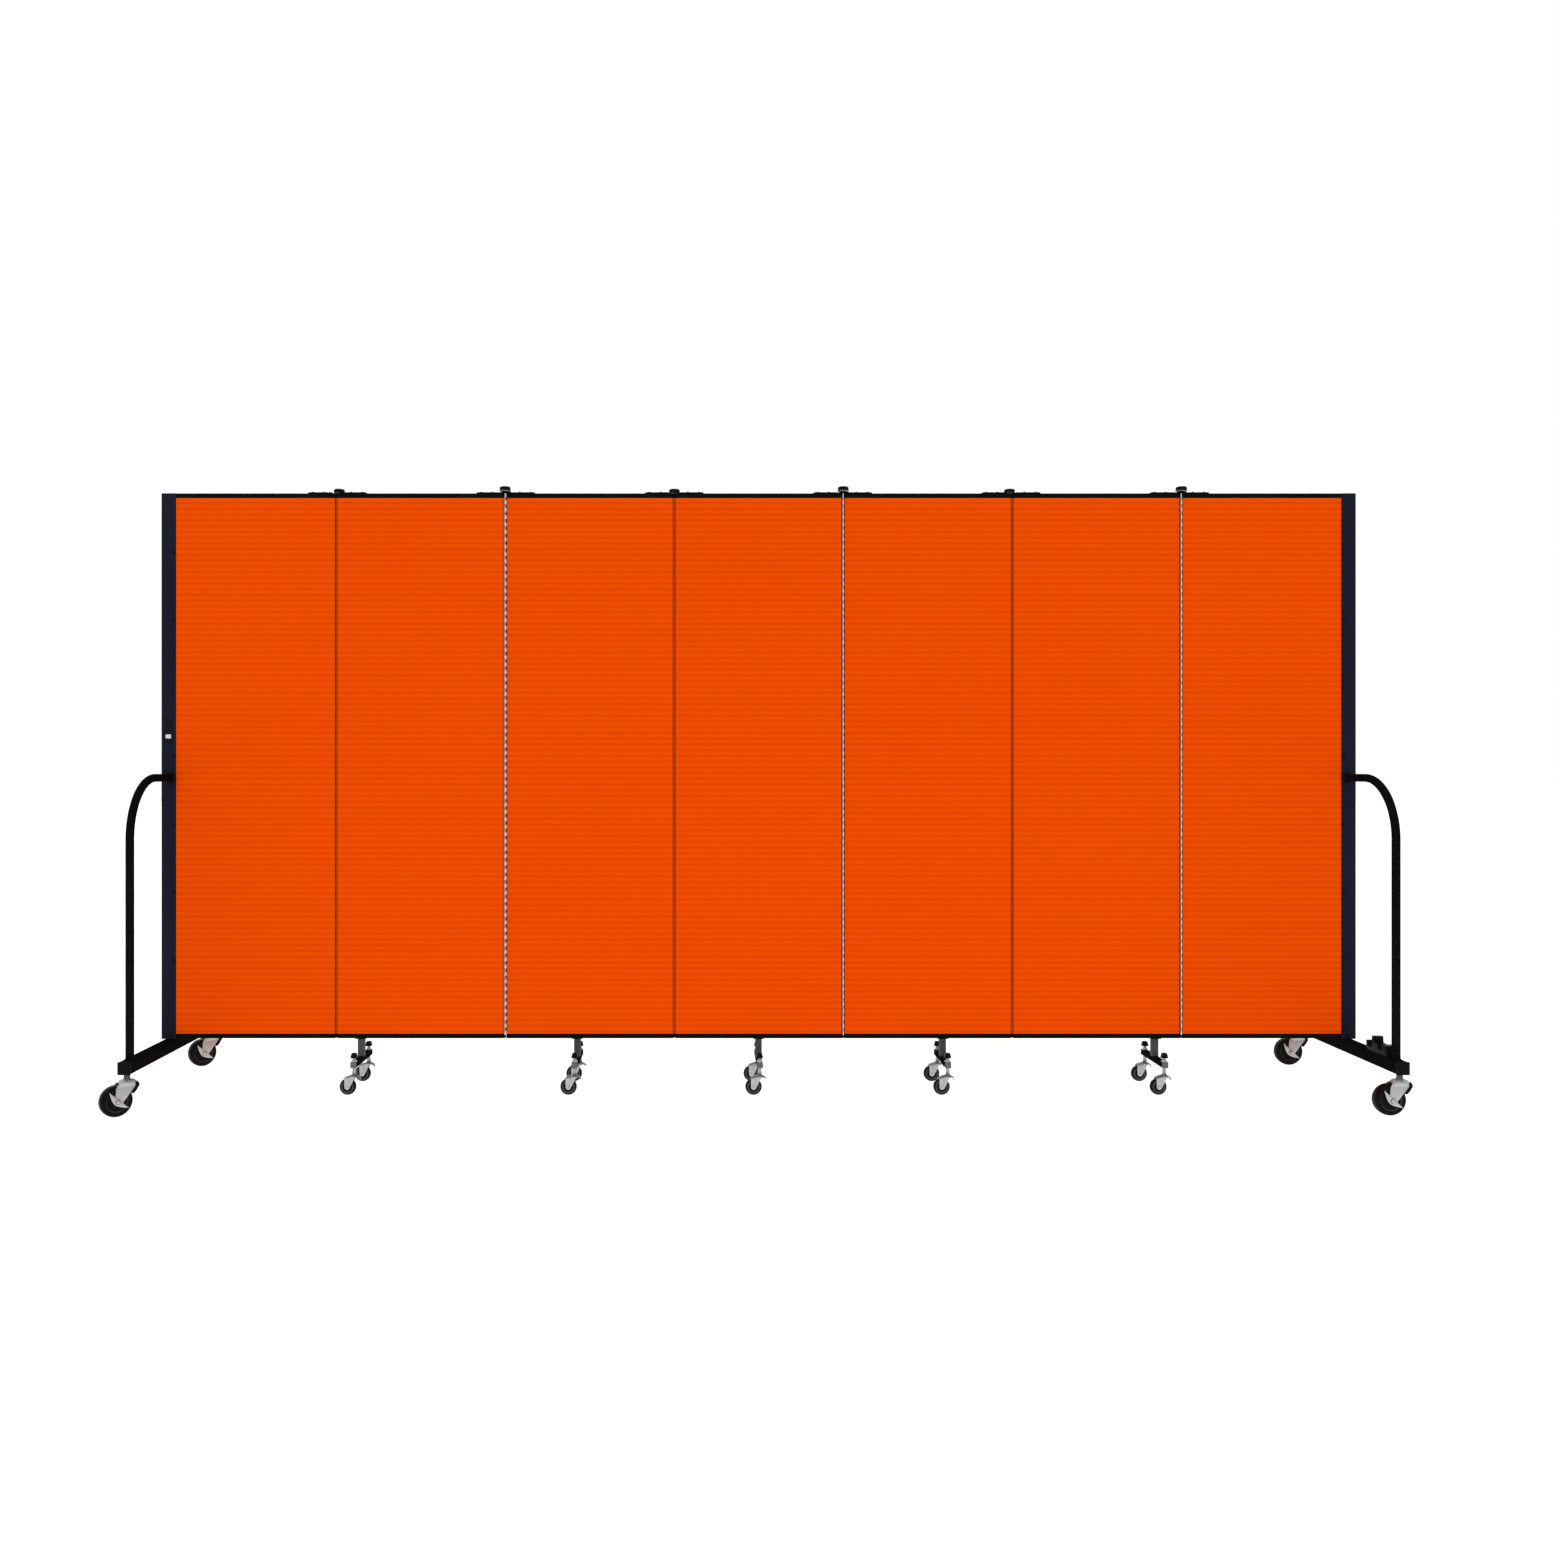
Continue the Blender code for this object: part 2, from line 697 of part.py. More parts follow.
def large_casters(pivots):
    stub = FIT + LEVER_THICK + 0.002
    masters = {
        "fork": caster_fork(LARGE, stub),
        "wheel": caster_wheel(LARGE),
        "brake": brake_lever(),
    }
    for end, side in (("left", -1), ("right", 1)):
        panel = 1 if side < 0 else PANELS
        turn = LEFT_SWIVEL if side < 0 else 0.0
        for place, y in (("front", -END_STEMS / 2), ("rear", END_STEMS / 2)):
            name = "end_%s_%s" % (end, place)
            caster_set(LARGE, name, side * BAR_X, y, pivots[panel], turn, masters)
    remove_all(masters)


def remove_all(masters):
    for master in masters.values():
        bpy.data.objects.remove(master, do_unlink=True)


def main():
    pivots = make_pivots()
    bores = {seam: hinge_bore(seam) for seam in range(1, PANELS)}
    for panel, pivot in pivots.items():
        panel_frame(panel, pivot, bores)
        panel_board(panel, pivot)
    for seam in range(1, PANELS):
        hinge_pin(seam, pivots[seam])
    for side, panel in ((-1, 1), (1, PANELS)):
        end_post(side, pivots[panel])
        end_bar(side, pivots[panel])
        brace_tube(side, pivots[panel])
    storage_clip(pivots[PANELS])
    blank_label(pivots[1])
    small_casters(pivots)
    large_casters(pivots)


clear_scene()
PARTS = new_collection("welding_screen")
CUTTERS = new_collection("welding_screen_cutters")
main()
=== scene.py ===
"""The visible pieces of a folding welding screen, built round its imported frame.

Metres, +Z up, front towards -Y. Every size that the frame already holds is read from it: panel
edges from the boards, hinge lines and caster axles from the joints.
"""

import json
import math

import bmesh
import bpy
from bpy.props import FloatProperty, FloatVectorProperty, IntProperty, PointerProperty
from bpy.types import Operator, Panel, PropertyGroup
from mathutils import Matrix, Vector


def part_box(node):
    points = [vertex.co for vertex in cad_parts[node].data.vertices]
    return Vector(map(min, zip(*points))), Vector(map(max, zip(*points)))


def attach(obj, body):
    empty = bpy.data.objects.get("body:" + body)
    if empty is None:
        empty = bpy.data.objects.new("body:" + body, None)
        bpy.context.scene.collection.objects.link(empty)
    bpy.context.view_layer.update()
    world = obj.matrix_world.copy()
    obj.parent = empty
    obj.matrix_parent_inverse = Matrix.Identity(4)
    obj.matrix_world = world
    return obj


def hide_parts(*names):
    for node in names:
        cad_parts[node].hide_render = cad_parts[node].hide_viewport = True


bl_info = {
    "name": "Folding welding screen",
    "version": (1, 0, 0),
    "blender": (4, 5, 0),
    "location": "3D View > Sidebar > Screen",
    "description": "Builds a folding welding screen's covers, frames, hinges, feet and casters",
    "category": "Add Mesh",
}

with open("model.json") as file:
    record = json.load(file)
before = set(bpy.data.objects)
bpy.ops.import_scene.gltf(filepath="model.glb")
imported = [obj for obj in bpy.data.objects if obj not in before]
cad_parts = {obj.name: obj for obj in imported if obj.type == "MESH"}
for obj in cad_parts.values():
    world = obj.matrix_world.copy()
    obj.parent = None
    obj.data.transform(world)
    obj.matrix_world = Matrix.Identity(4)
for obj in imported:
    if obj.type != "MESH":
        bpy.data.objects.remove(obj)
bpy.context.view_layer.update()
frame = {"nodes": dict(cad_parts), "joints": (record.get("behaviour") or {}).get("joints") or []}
JOINTS = {joint["name"]: joint for joint in frame["joints"]}
PANELS = 7
SIDES = (("left", -1), ("right", 1))
SEAMS = {k: Vector(JOINTS["hinge_%d_fold" % k]["pos_m"]) for k in range(1, PANELS)}
BOARDS = {k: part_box("panel_%d_board" % k) for k in range(1, PANELS + 1)}
POSTS = {end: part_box("end_post_" + end) for end, side in SIDES}
BARS = {end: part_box("foot_bar_" + end) for end, side in SIDES}
TUBES = {end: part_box("brace_tube_" + end) for end, side in SIDES}
PANEL_TOP = POSTS["left"][1].z
FOOT_PANELS = range(2, PANELS)

# Turns for pieces built along local Z: it then runs forward, to the right, or stays up.
FORWARD = Matrix(((1, 0, 0, 0), (0, 0, -1, 0), (0, 1, 0, 0), (0, 0, 0, 1)))
RIGHTWARD = Matrix(((0, 0, 1, 0), (1, 0, 0, 0), (0, 1, 0, 0), (0, 0, 0, 1)))
UPRIGHT = Matrix.Identity(4)
HALF_TURN = Matrix.Rotation(math.pi, 4, "Z")
# Local Z runs out of the front (-1) or the rear (1), and out to the left (-1) or the right (1).
OUT_OF_FACE = {-1: FORWARD, 1: HALF_TURN @ FORWARD}
OUT_OF_SIDE = {-1: HALF_TURN @ RIGHTWARD, 1: RIGHTWARD}
END_BODIES = {-1: "panel_1", 1: "panel_%d" % PANELS}
CLEAR = 0.0003  # between a pin's lugs, and round a cover
at = Matrix.Translation


# ---- Settings ----
def length(label, description, default):
    return FloatProperty(name=label, description=description, default=default, unit="LENGTH")


def colour(label, description, default):
    return FloatVectorProperty(
        name=label, description=description, default=default, subtype="COLOR", size=4
    )


class CoverSettings(PropertyGroup):
    rib_pitch: length("Rib pitch", "Height of one rib of a cover", 0.0190)
    rib_depth: length("Rib depth", "From a rib's crest to the groove beside it", 0.0007)
    groove: length("Groove", "Height of the groove between two ribs", 0.0060)
    proud: length("Cover proud", "From a board's face to a cover's grooves", 0.0004)
    orange: colour("Orange", "Colour of the ribs", (0.803, 0.0760, 0.0008, 1))
    # The grooves' colour is painted shade between the ribs.
    deep: colour("Groove shade", "Colour of the grooves", (0.714, 0.0410, 0.0005, 1))


class FrameSettings(PropertyGroup):
    depth: length("Frame depth", "Front to back over a panel's rails", 0.034)
    rail: length("Rail height", "Height of a panel's top and bottom rails", 0.015)
    lip: length("Side lip", "Width of a panel's side lips", 0.002)
    fit: length("Fit", "Gap between a board and its frame", 0.0003)
    corner: length("Corner radius", "Outer radius of the rolled steel", 0.0016)
    tube_corner: length("Tube corner radius", "Outer radius of the square tubes", 0.0032)
    screw_pitch: length("Screw pitch", "From one post screw to the next", 0.2247)
    screw_top: length("First screw", "From a post's top to its first screw", 0.196)
    black: colour("Black paint", "Colour of the bars and braces", (0.0046, 0.0048, 0.0054, 1))
    blue_black: colour("Post paint", "Colour of the posts", (0.0085, 0.0103, 0.0205, 1))


class HingeSettings(PropertyGroup):
    knuckles: IntProperty(
        name="Knuckles", description="Knuckles on each leaf of a hinge", default=73, min=2
    )
    inset: length("Barrel inset", "From a panel's ends to a hinge's barrel", 0.012)
    barrel: length("Barrel radius", "Outer radius of a hinge's knuckles", 0.0022)
    pin: length("Pin radius", "Radius of a hinge's pin", 0.0016)
    gap: length("Knuckle gap", "Between two knuckles", 0.0005)
    seam: length("Seam", "Between the frames of two panels", 0.009)
    leaf: length("Leaf", "Thickness of a hinge's leaf", 0.0012)
    lug: length("Lug", "Thickness of each top arm's lug", 0.0024)
    lug_radius: length("Lug radius", "Radius of a top arm's lug", 0.014)
    arm_reach: length("Arm reach", "From a hinge's axis to its arm's end", 0.097)
    arm_width: length("Arm width", "Front to back over a top arm", 0.022)
    cap: length("Cap radius", "Radius of the cap on a hinge's pin", 0.019)
    steel: colour("Hinge steel", "Colour of the plated hinges", (0.84, 0.80, 0.74, 1))


class CasterSettings(PropertyGroup):
    zinc: colour("Zinc", "Colour of the plated forks", (0.50, 0.52, 0.51, 1))
    tyre: colour("Tyre", "Colour of the wheels", (0.0024, 0.0024, 0.0026, 1))
    lever_half: length("Lever half length", "From a brake lever's centre to its tip", 0.0385)
    lever_width: length("Lever width", "Width of a brake lever at its centre", 0.0200)
    lever_tilt: FloatProperty(
        name="Lever tilt", description="Slope of a brake lever", default=math.radians(43),
        subtype="ANGLE",
    )


class StageSettings(PropertyGroup):
    distance: length("Camera distance", "From the panels to the camera", 4.415)
    height: length("Camera height", "From the floor to the camera", 1.051)
    aside: length("Camera aside", "From the middle panel's centre to the camera", -0.186)
    lens: FloatProperty(name="Lens", description="Focal length", default=30.66, unit="CAMERA")
    shift: FloatVectorProperty(
        name="Shift", description="How far the lens is shifted", default=(0.0497, -0.0060), size=2
    )
    white: colour("Floor", "Colour of the floor", (0.36, 0.36, 0.36, 1))
    dim: colour("Dim side", "Colour of the room behind the camera", (0.20, 0.20, 0.21, 1))


def settings(name):
    return getattr(bpy.context.scene, "screen_" + name)


# ---- Shader maths ----
class Value:
    """A socket that shader maths is written with."""

    def __init__(self, shader, socket):
        self.shader, self.socket = shader, socket

    def __add__(self, other):
        return self.shader.maths("ADD", self, other)

    def __radd__(self, other):
        return self.shader.maths("ADD", other, self)

    def __sub__(self, other):
        return self.shader.maths("SUBTRACT", self, other)

    def __rsub__(self, other):
        return self.shader.maths("SUBTRACT", other, self)

    def __mul__(self, other):
        return self.shader.maths("MULTIPLY", self, other)

    def __rmul__(self, other):
        return self.shader.maths("MULTIPLY", other, self)

    def __truediv__(self, other):
        return self.shader.maths("DIVIDE", self, other)


class Nodes:
    """A node tree that shader maths is written in."""

    def __init__(self, tree):
        self.tree = tree

    def feed(self, socket, value):
        if isinstance(value, Value):
            self.tree.links.new(value.socket, socket)
        else:
            socket.default_value = value

    def node(self, kind, options=None, sockets=None, output=0):
        """Any node: its options are set first, then its sockets' values or links."""
        made = self.tree.nodes.new("ShaderNode" + kind)
        for name, value in (options or {}).items():
            setattr(made, name, value)
        for key, value in (sockets or {}).items():
            self.feed(made.inputs[key], value)
        return Value(self, made.outputs[output])

    def maths(self, operation, first, second=0.0):
        return self.node("Math", {"operation": operation}, {0: first, 1: second})

    def place(self):
        """The point on the surface, in the piece's own space."""
        return self.node("TexCoord", output="Object")

    def axes(self, place):
        split = self.node("SeparateXYZ", sockets={0: place}).socket.node
        return [Value(self, socket) for socket in split.outputs]

    def scaled(self, place, scale):
        return self.node("VectorMath", {"operation": "MULTIPLY"}, {0: place, 1: scale})

    def noise(self, place, scale, stretch=(1, 1, 1), detail=2.0):
        """Noise from 0 to 1, about 0.5."""
        where = self.scaled(place, stretch)
        return self.node("TexNoise", sockets={"Vector": where, "Scale": scale, "Detail": detail})

    def ramp(self, value, low, high):
        """0 at low and below, 1 at high and above."""
        sockets = {0: value, 1: low, 2: high, 3: 0.0, 4: 1.0}
        return self.node("MapRange", {"clamp": True}, sockets)

    def blend(self, share, first, second, mode="MIX"):
        options = {"data_type": "RGBA", "blend_type": mode}
        return self.node("Mix", options, {0: share, 6: first, 7: second}, output=2)

    def bump(self, height, depth, strength=1.0):
        sockets = {"Height": height, "Distance": depth, "Strength": strength}
        return self.node("Bump", sockets=sockets)


class Shader(Nodes):
    """A material with one Principled shader, and the nodes that feed it."""

    def __init__(self, name, **constants):
        self.material = bpy.data.materials.new(name)
        self.material.use_nodes = True
        super().__init__(self.material.node_tree)
        self.surface = self.tree.nodes["Principled BSDF"]
        self.set(**constants)

    def set(self, **sockets):
        """Set or feed the surface's own sockets: base_color stands for Base Color."""
        for name, value in sockets.items():
            label = name.replace("_", " ").title().replace("Ior", "IOR")
            self.feed(self.surface.inputs[label], value)


MATERIALS = {}


def finish_named(maker):
    """One material for each maker function, made the first time it is asked for."""
    if maker not in MATERIALS:
        MATERIALS[maker] = maker().material
    return MATERIALS[maker]


def ribbed_cover():
    """Bright orange cover: fine threads, soft vertical streaks, and painted shade in the grooves.
    """
    look = settings("covers")
    shader = Shader("ribbed orange cover", specular_ior_level=0.0)
    place = shader.place()
    x, y, z = shader.axes(place)
    phase = shader.maths("FRACT", z / look.rib_pitch)
    off_centre = shader.maths("ABSOLUTE", phase - 0.5)
    groove = shader.ramp(off_centre, 0.5 - look.groove / look.rib_pitch, 0.5)
    streaks = shader.noise(place, 1.0, (95, 1, 2.2), 3.0)
    slubs = shader.noise(place, 1.0, (1.4, 1, 210), 3.0)
    clouds = shader.noise(place, 1.3, (1, 1, 1.6), 2.0)
    wear = (streaks - 0.5) * 0.16 + (slubs - 0.5) * 0.40 + (clouds - 0.5) * 0.30
    # Painted shade in the grooves, mixed with the random tone of the streaks, slubs and clouds.
    dark = shader.ramp(groove * 0.62 + wear, 0.0, 1.0)
    threads = shader.maths("SINE", x * (math.tau / 0.0015))
    threads = threads * shader.maths("SINE", z * (math.tau / 0.0013))
    height = threads * 0.5 + (slubs - 0.5) * 0.7
    shader.set(
        base_color=shader.blend(dark, tuple(look.orange), tuple(look.deep)),
        roughness=0.62 + (streaks - 0.5) * 0.16,
        normal=shader.bump(height, 0.00012, 0.5),
    )
    return shader


def grained(name, scale, first, second, rough, relief=0.0, **look):
    """Two like tones in fine noise, which also moves the roughness and the bump."""
    stretch, detail = look.pop("stretch", (1, 1, 1)), look.pop("detail", 3.0)
    uneven, strength = look.pop("uneven", 0.2), look.pop("strength", 0.3)
    shader = Shader(name, **look)
    tone = shader.noise(shader.place(), scale, stretch, detail)
    shader.set(
        base_color=shader.blend(tone, (*first, 1), (*second, 1)),
        roughness=rough + (tone - 0.5) * uneven,
    )
    if relief:
        shader.set(normal=shader.bump(tone, relief, strength))
    return shader


def core_board():
    """Fibre board, seen only at a panel's edges."""
    tones = (0.10, 0.045, 0.02), (0.20, 0.09, 0.04)
    grain = {"stretch": (1, 1, 0.3), "detail": 4.0, "strength": 0.4}
    return grained("core board", 420.0, *tones, rough=0.8, relief=0.0002, **grain)


def seam_strip():
    """Orange webbing that closes a seam behind its hinge."""
    shader = Shader("seam strip", specular_ior_level=0.0)
    x, y, z = shader.axes(shader.place())
    weave = shader.maths("SINE", z * (math.tau / 0.004)) * 0.5 + 0.5
    shader.set(
        base_color=shader.blend(weave, (0.62, 0.066, 0.006, 1), (0.44, 0.047, 0.004, 1)),
        roughness=0.75 + weave * 0.1,
        normal=shader.bump(weave, 0.0002, 0.4),
    )
    return shader


def painted(name, tint, dusty, gloss=0.03):
    """Baked paint on steel: faint orange peel, dust in patches."""
    shader = Shader(name, specular_ior_level=gloss)
    place = shader.place()
    peel = shader.noise(place, 520.0, detail=1.0)
    patches = shader.noise(place, 7.0, (1, 1, 0.5), 4.0)
    dust = shader.ramp(patches, 0.45, 0.75)
    shader.set(
        base_color=shader.blend(dust * 0.5, tuple(tint), dusty),
        roughness=0.55 + (patches - 0.5) * 0.22 + (peel - 0.5) * 0.05,
        normal=shader.bump(peel, 0.00008, 0.35),
    )
    return shader


def blue_black():
    return painted("blue-black paint", settings("frames").blue_black, (0.0140, 0.0168, 0.0300, 1))


def black_paint():
    return painted("black paint", settings("frames").black, (0.0085, 0.0087, 0.0096, 1), 0.0)


# A grey-black paint, lighter than the black of the bars, for the foot posts.
def grey_black():
    return painted("grey-black paint", (0.052, 0.055, 0.057, 1), (0.100, 0.104, 0.107, 1))


def black_plastic():
    """Moulded black plastic with a fine grain."""
    shader = Shader("black plastic", specular_ior_level=0.04)
    place = shader.place()
    grain = shader.noise(place, 900.0, detail=1.0)
    tone = shader.noise(place, 40.0, detail=2.0)
    shader.set(
        base_color=shader.blend(tone, (0.0030, 0.0030, 0.0036, 1), (0.0075, 0.0075, 0.0090, 1)),
        roughness=0.40 + (tone - 0.5) * 0.2,
        normal=shader.bump(grain, 0.0001, 0.4),
    )
    return shader


def plated(name, tint, rough, spangle):
    """Plated steel: brushed lines, cloudy patches and duller spots."""
    shader = Shader(name, metallic=0.35, specular_ior_level=0.15)
    place = shader.place()
    brushed = shader.noise(place, 60.0, (1, 1, 22), 3.0)
    clouds = shader.noise(place, 130.0, detail=3.0)
    spots = shader.ramp(shader.noise(place, 340.0, detail=2.0), 0.60, 0.74)
    dull = tuple(channel * 0.62 for channel in tint[:3]) + (1,)
    shade = (clouds - 0.5) * spangle + spots * 0.25 + 0.18
    shader.set(
        base_color=shader.blend(shader.ramp(shade, 0.0, 1.0), tuple(tint), dull),
        roughness=rough + (brushed - 0.5) * 0.18 + spots * 0.10,
        normal=shader.bump(brushed, 0.00006, 0.3),
    )
    return shader


def zinc():
    return plated("zinc plate", settings("casters").zinc, rough=0.40, spangle=0.60)


# The zinc at about a third of its brightness, a shaded copy of it: painted shade on the hood, the
# threaded stems and the axle washers.
def shaded_zinc():
    plate = settings("casters").zinc
    return plated("shaded zinc", [channel * 0.36 for channel in plate], rough=0.42, spangle=0.5)


def hinge_steel():
    return plated("hinge steel", settings("hinges").steel, rough=0.30, spangle=0.30)


# The hinge steel at half its brightness, a shaded copy of it: painted shade on the right leaf's
# knuckles.
def shaded_hinge_steel():
    steel = settings("hinges").steel
    return plated("shaded hinge steel", [channel * 0.5 for channel in steel], rough=0.34, spangle=0.4)


def painted_wheel_highlight():
    """A painted highlight: the lighter ring on a wheel's sides."""
    tones = (0.020, 0.020, 0.021), (0.045, 0.045, 0.046)
    sheen = {"relief": 0.0001, "specular_ior_level": 0.3}
    return grained("painted wheel highlight", 220.0, *tones, rough=0.38, **sheen)


def grey_plastic():
    """Dull grey plastic of the tube ends."""
    tones = (0.085, 0.087, 0.090), (0.13, 0.132, 0.136)
    sheen = {"relief": 0.00015, "specular_ior_level": 0.35}
    return grained("grey plastic", 200.0, *tones, rough=0.55, **sheen)


def tyre():
    """Black wheel with scuffs and duller, worn patches."""
    shader = Shader("black wheel", specular_ior_level=0.07)
    place = shader.place()
    scuffs = shader.noise(place, 160.0, (1, 1, 1), 4.0)
    worn = shader.ramp(scuffs, 0.55, 0.8)
    black = tuple(settings("casters").tyre)
    shader.set(
        base_color=shader.blend(worn * 0.6, black, (0.012, 0.012, 0.013, 1)),
        roughness=0.42 + (scuffs - 0.5) * 0.3,
        normal=shader.bump(scuffs, 0.0002, 0.35),
    )
    return shader


def label_film():
    """Plain dark film with a soft sheen."""
    tones = (0.0030, 0.0042, 0.0064), (0.0050, 0.0066, 0.0092)
    sheen = {"detail": 2.0, "uneven": 0.1, "specular_ior_level": 0.1}
    return grained("label film", 90.0, *tones, rough=0.30, **sheen)


def label_white():
    """Plain pale field on the label."""
    tones = (0.62, 0.57, 0.58), (0.78, 0.74, 0.74)
    return grained("label field", 120.0, *tones, rough=0.5, detail=2.0, uneven=0.1)


# ---- Mesh building ----
def bridge(work, first, second):
    """Faces between two rings. A ring of one point makes a fan."""
    for i in range(max(len(first), len(second))):
        around = (
            first[i % len(first)],
            first[(i + 1) % len(first)],
            second[(i + 1) % len(second)],
            second[i % len(second)],
        )
        corners = []
        for vert in around:
            if vert not in corners:
                corners.append(vert)
        if len(corners) > 2:
            work.faces.new(corners)


def add_box(work, low, high, edge=0.0, segments=2):
    """A block between two corners, with its edges rounded."""
    low, high = Vector(low), Vector(high)
    centre = (low + high) / 2
    size = Vector([abs(b - a) for a, b in zip(low, high)])
    made = bmesh.ops.create_cube(work, size=1.0, matrix=Matrix.LocRotScale(centre, None, size))
    if edge:
        edges = list({line for vert in made["verts"] for line in vert.link_edges})
        bmesh.ops.bevel(
            work, geom=edges, offset=edge, segments=segments, profile=0.5, affect="EDGES"
        )


def add_turned(work, profile, place=UPRIGHT, sides=24):
    """A shape turned about local Z from (radius, height) points."""
    rings = []
    for radius, height in profile:
        count = sides if radius > 1e-6 else 1
        around = regular(count, radius)
        rings.append([work.verts.new(place @ Vector((x, y, height))) for x, y in around])
    for upper, lower in zip(rings, rings[1:]):
        bridge(work, upper, lower)


def add_prism(work, outline, depth, place=UPRIGHT, edge=0.0, segments=2):
    """A flat outline thickened along local Z, with its two rims rounded."""
    near = [work.verts.new(place @ Vector((x, y, 0))) for x, y in outline]
    far = [work.verts.new(place @ Vector((x, y, depth))) for x, y in outline]
    bridge(work, near, far)
    caps = [work.faces.new(near), work.faces.new(far[::-1])]
    if edge:
        rims = list({line for cap in caps for line in cap.edges})
        bmesh.ops.bevel(
            work, geom=rims, offset=edge, segments=segments, profile=0.5, affect="EDGES"
        )


def add_sheet(work, rows, thickness):
    """A sheet of metal through a grid of points, thickened behind."""
    verts = [[work.verts.new(point) for point in row] for row in rows]
    faces = []
    for upper, lower in zip(verts, verts[1:]):
        for i in range(len(upper) - 1):
            faces.append(work.faces.new((upper[i], upper[i + 1], lower[i + 1], lower[i])))
    bmesh.ops.recalc_face_normals(work, faces=faces)
    bmesh.ops.solidify(work, geom=faces, thickness=thickness)


def rounded(width, height, radius, steps=4, centre=(0, 0)):
    """A rectangle with round corners, as (x, y) points."""
    points = []
    for quarter, (sx, sy) in enumerate(((1, 1), (-1, 1), (-1, -1), (1, -1))):
        x = centre[0] + sx * (width / 2 - radius)
        y = centre[1] + sy * (height / 2 - radius)
        points += arc((x, y), radius, 90 * quarter, 90 * (quarter + 1), steps)
    return points


def arc(centre, radius, start, end, steps):
    """Points on an arc, with angles in degrees."""
    turns = [math.radians(start + (end - start) * step / steps) for step in range(steps + 1)]
    x, y = centre
    return [(x + radius * math.cos(turn), y + radius * math.sin(turn)) for turn in turns]


def regular(sides, radius, turn=0.0):
    """A regular polygon, as (x, y) points."""
    angles = [math.tau * i / sides + turn for i in range(sides)]
    return [(radius * math.cos(angle), radius * math.sin(angle)) for angle in angles]


def mesh_from(work, name, material, sharp=35):
    bmesh.ops.recalc_face_normals(work, faces=work.faces)
    mesh = bpy.data.meshes.new(name)
    work.to_mesh(mesh)
    work.free()
    mesh.materials.append(material)
    mesh.shade_smooth()
    mesh.set_sharp_from_angle(angle=math.radians(sharp))
    return mesh


def put(name, mesh, body, place=UPRIGHT):
    """A piece of the object, riding on a body."""
    piece = bpy.data.objects.new(name, mesh)
    bpy.context.scene.collection.objects.link(piece)
    piece.matrix_world = place
    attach(piece, body)
    return piece


def made(name, work, maker, body, slot, sharp=35):
    """A piece from a mesh that was built in place."""
    mesh = mesh_from(work, name, finish_named(maker), sharp)
    return put(name, mesh, body)


def repaint(node, maker):
    """Give a kept frame node its finish."""
    mesh = frame["nodes"][node].data
    mesh.materials.clear()
    mesh.materials.append(finish_named(maker))


def screw_profile(radius, height):
    """A pan head from its crown down to its underside."""
    points = [(0, height)]
    for step in range(1, 5):
        angle = math.pi / 2 * step / 4
        points.append((radius * math.sin(angle), height * (0.35 + 0.65 * math.cos(angle))))
    return points + [(radius, 0), (0, 0)]


def add_screw(work, place, radius, height, slot=True):
    """A pan head with a cross recess, its underside on local z = 0."""
    add_turned(work, screw_profile(radius, height), place, sides=16)
    if slot:
        for turn in (0, math.pi / 2):
            arm = place @ Matrix.Rotation(turn, 4, "Z")
            outline = rounded(radius * 1.1, radius * 0.22, radius * 0.1, 1)
            lift = at((0, 0, height * 0.93))
            add_prism(work, outline, height * 0.12, arm @ lift)


def add_bolt(work, place, radius, height, washer=0.0):
    """A hex head with a chamfered crown over a washer."""
    base = 0.0
    if washer:
        base = 0.0012
        rim = [(0, base), (washer - 0.0003, base), (washer, base / 2), (washer, 0), (0, 0)]
        add_turned(work, rim, place, sides=24)
    lifted = place @ at((0, 0, base))
    add_prism(work, regular(6, radius), height, lifted, edge=radius * 0.10)
    crown = [(0, 1.06), (0.6, 1.05), (0.84, 1.0), (0.84, 0.9), (0, 0.9)]
    profile = [(radius * r, height * h) for r, h in crown]
    add_turned(work, profile, lifted, sides=20)


# ---- Panels ----
def panel_edges(panel):
    """A panel frame's left and right edges, underside and top."""
    look = settings("frames")
    low, high = BOARDS[panel]
    side = look.lip + look.fit
    rail = look.rail + look.fit
    return low.x - side, high.x + side, low.z - rail, high.z + rail


def rib_height(phase, groove):
    """Height over one rib from 0 in the groove to 1 on the crest, for a phase from 0 to 1."""
    off = abs(phase - 0.5) * 2
    start = 1 - 2 * groove
    if off <= start:
        return 1 - 0.18 * (off / start) ** 2
    t = (off - start) / (1 - start)
    return 0.82 * (0.5 + 0.5 * math.cos(math.pi * t))


def build_cover(panel, name, face):
    """One face's cover: a thin ribbed sheet stretched over the board."""
    look = settings("covers")
    low, high = BOARDS[panel]
    left, right = panel_edges(panel)[:2]
    left, right = left + CLEAR, right - CLEAR
    bottom, top = low.z + CLEAR, high.z - CLEAR
    groove = look.groove / look.rib_pitch / 2
    base = face * (abs(low.y) + look.proud)
    per_rib, columns = 10, 12
    rows = int((top - bottom) / look.rib_pitch * per_rib)
    work = bmesh.new()
    grid = []
    for row in range(rows + 1):
        z = bottom + (top - bottom) * row / rows
        phase = (z / look.rib_pitch) % 1.0
        rise = look.rib_depth * rib_height(phase, groove)
        line = []
        for column in range(columns + 1):
            share = column / columns
            slack = 0.00006 * math.sin(9 * share + 0.7 * panel + 3.1 * z)
            line.append(Vector((left + (right - left) * share, base + face * (rise + slack), z)))
        grid.append(line)
    add_sheet(work, grid, -0.0004 if face < 0 else 0.0004)
    cover = made(name, work, ribbed_cover, "panel_%d" % panel, "orange_cover", sharp=60)


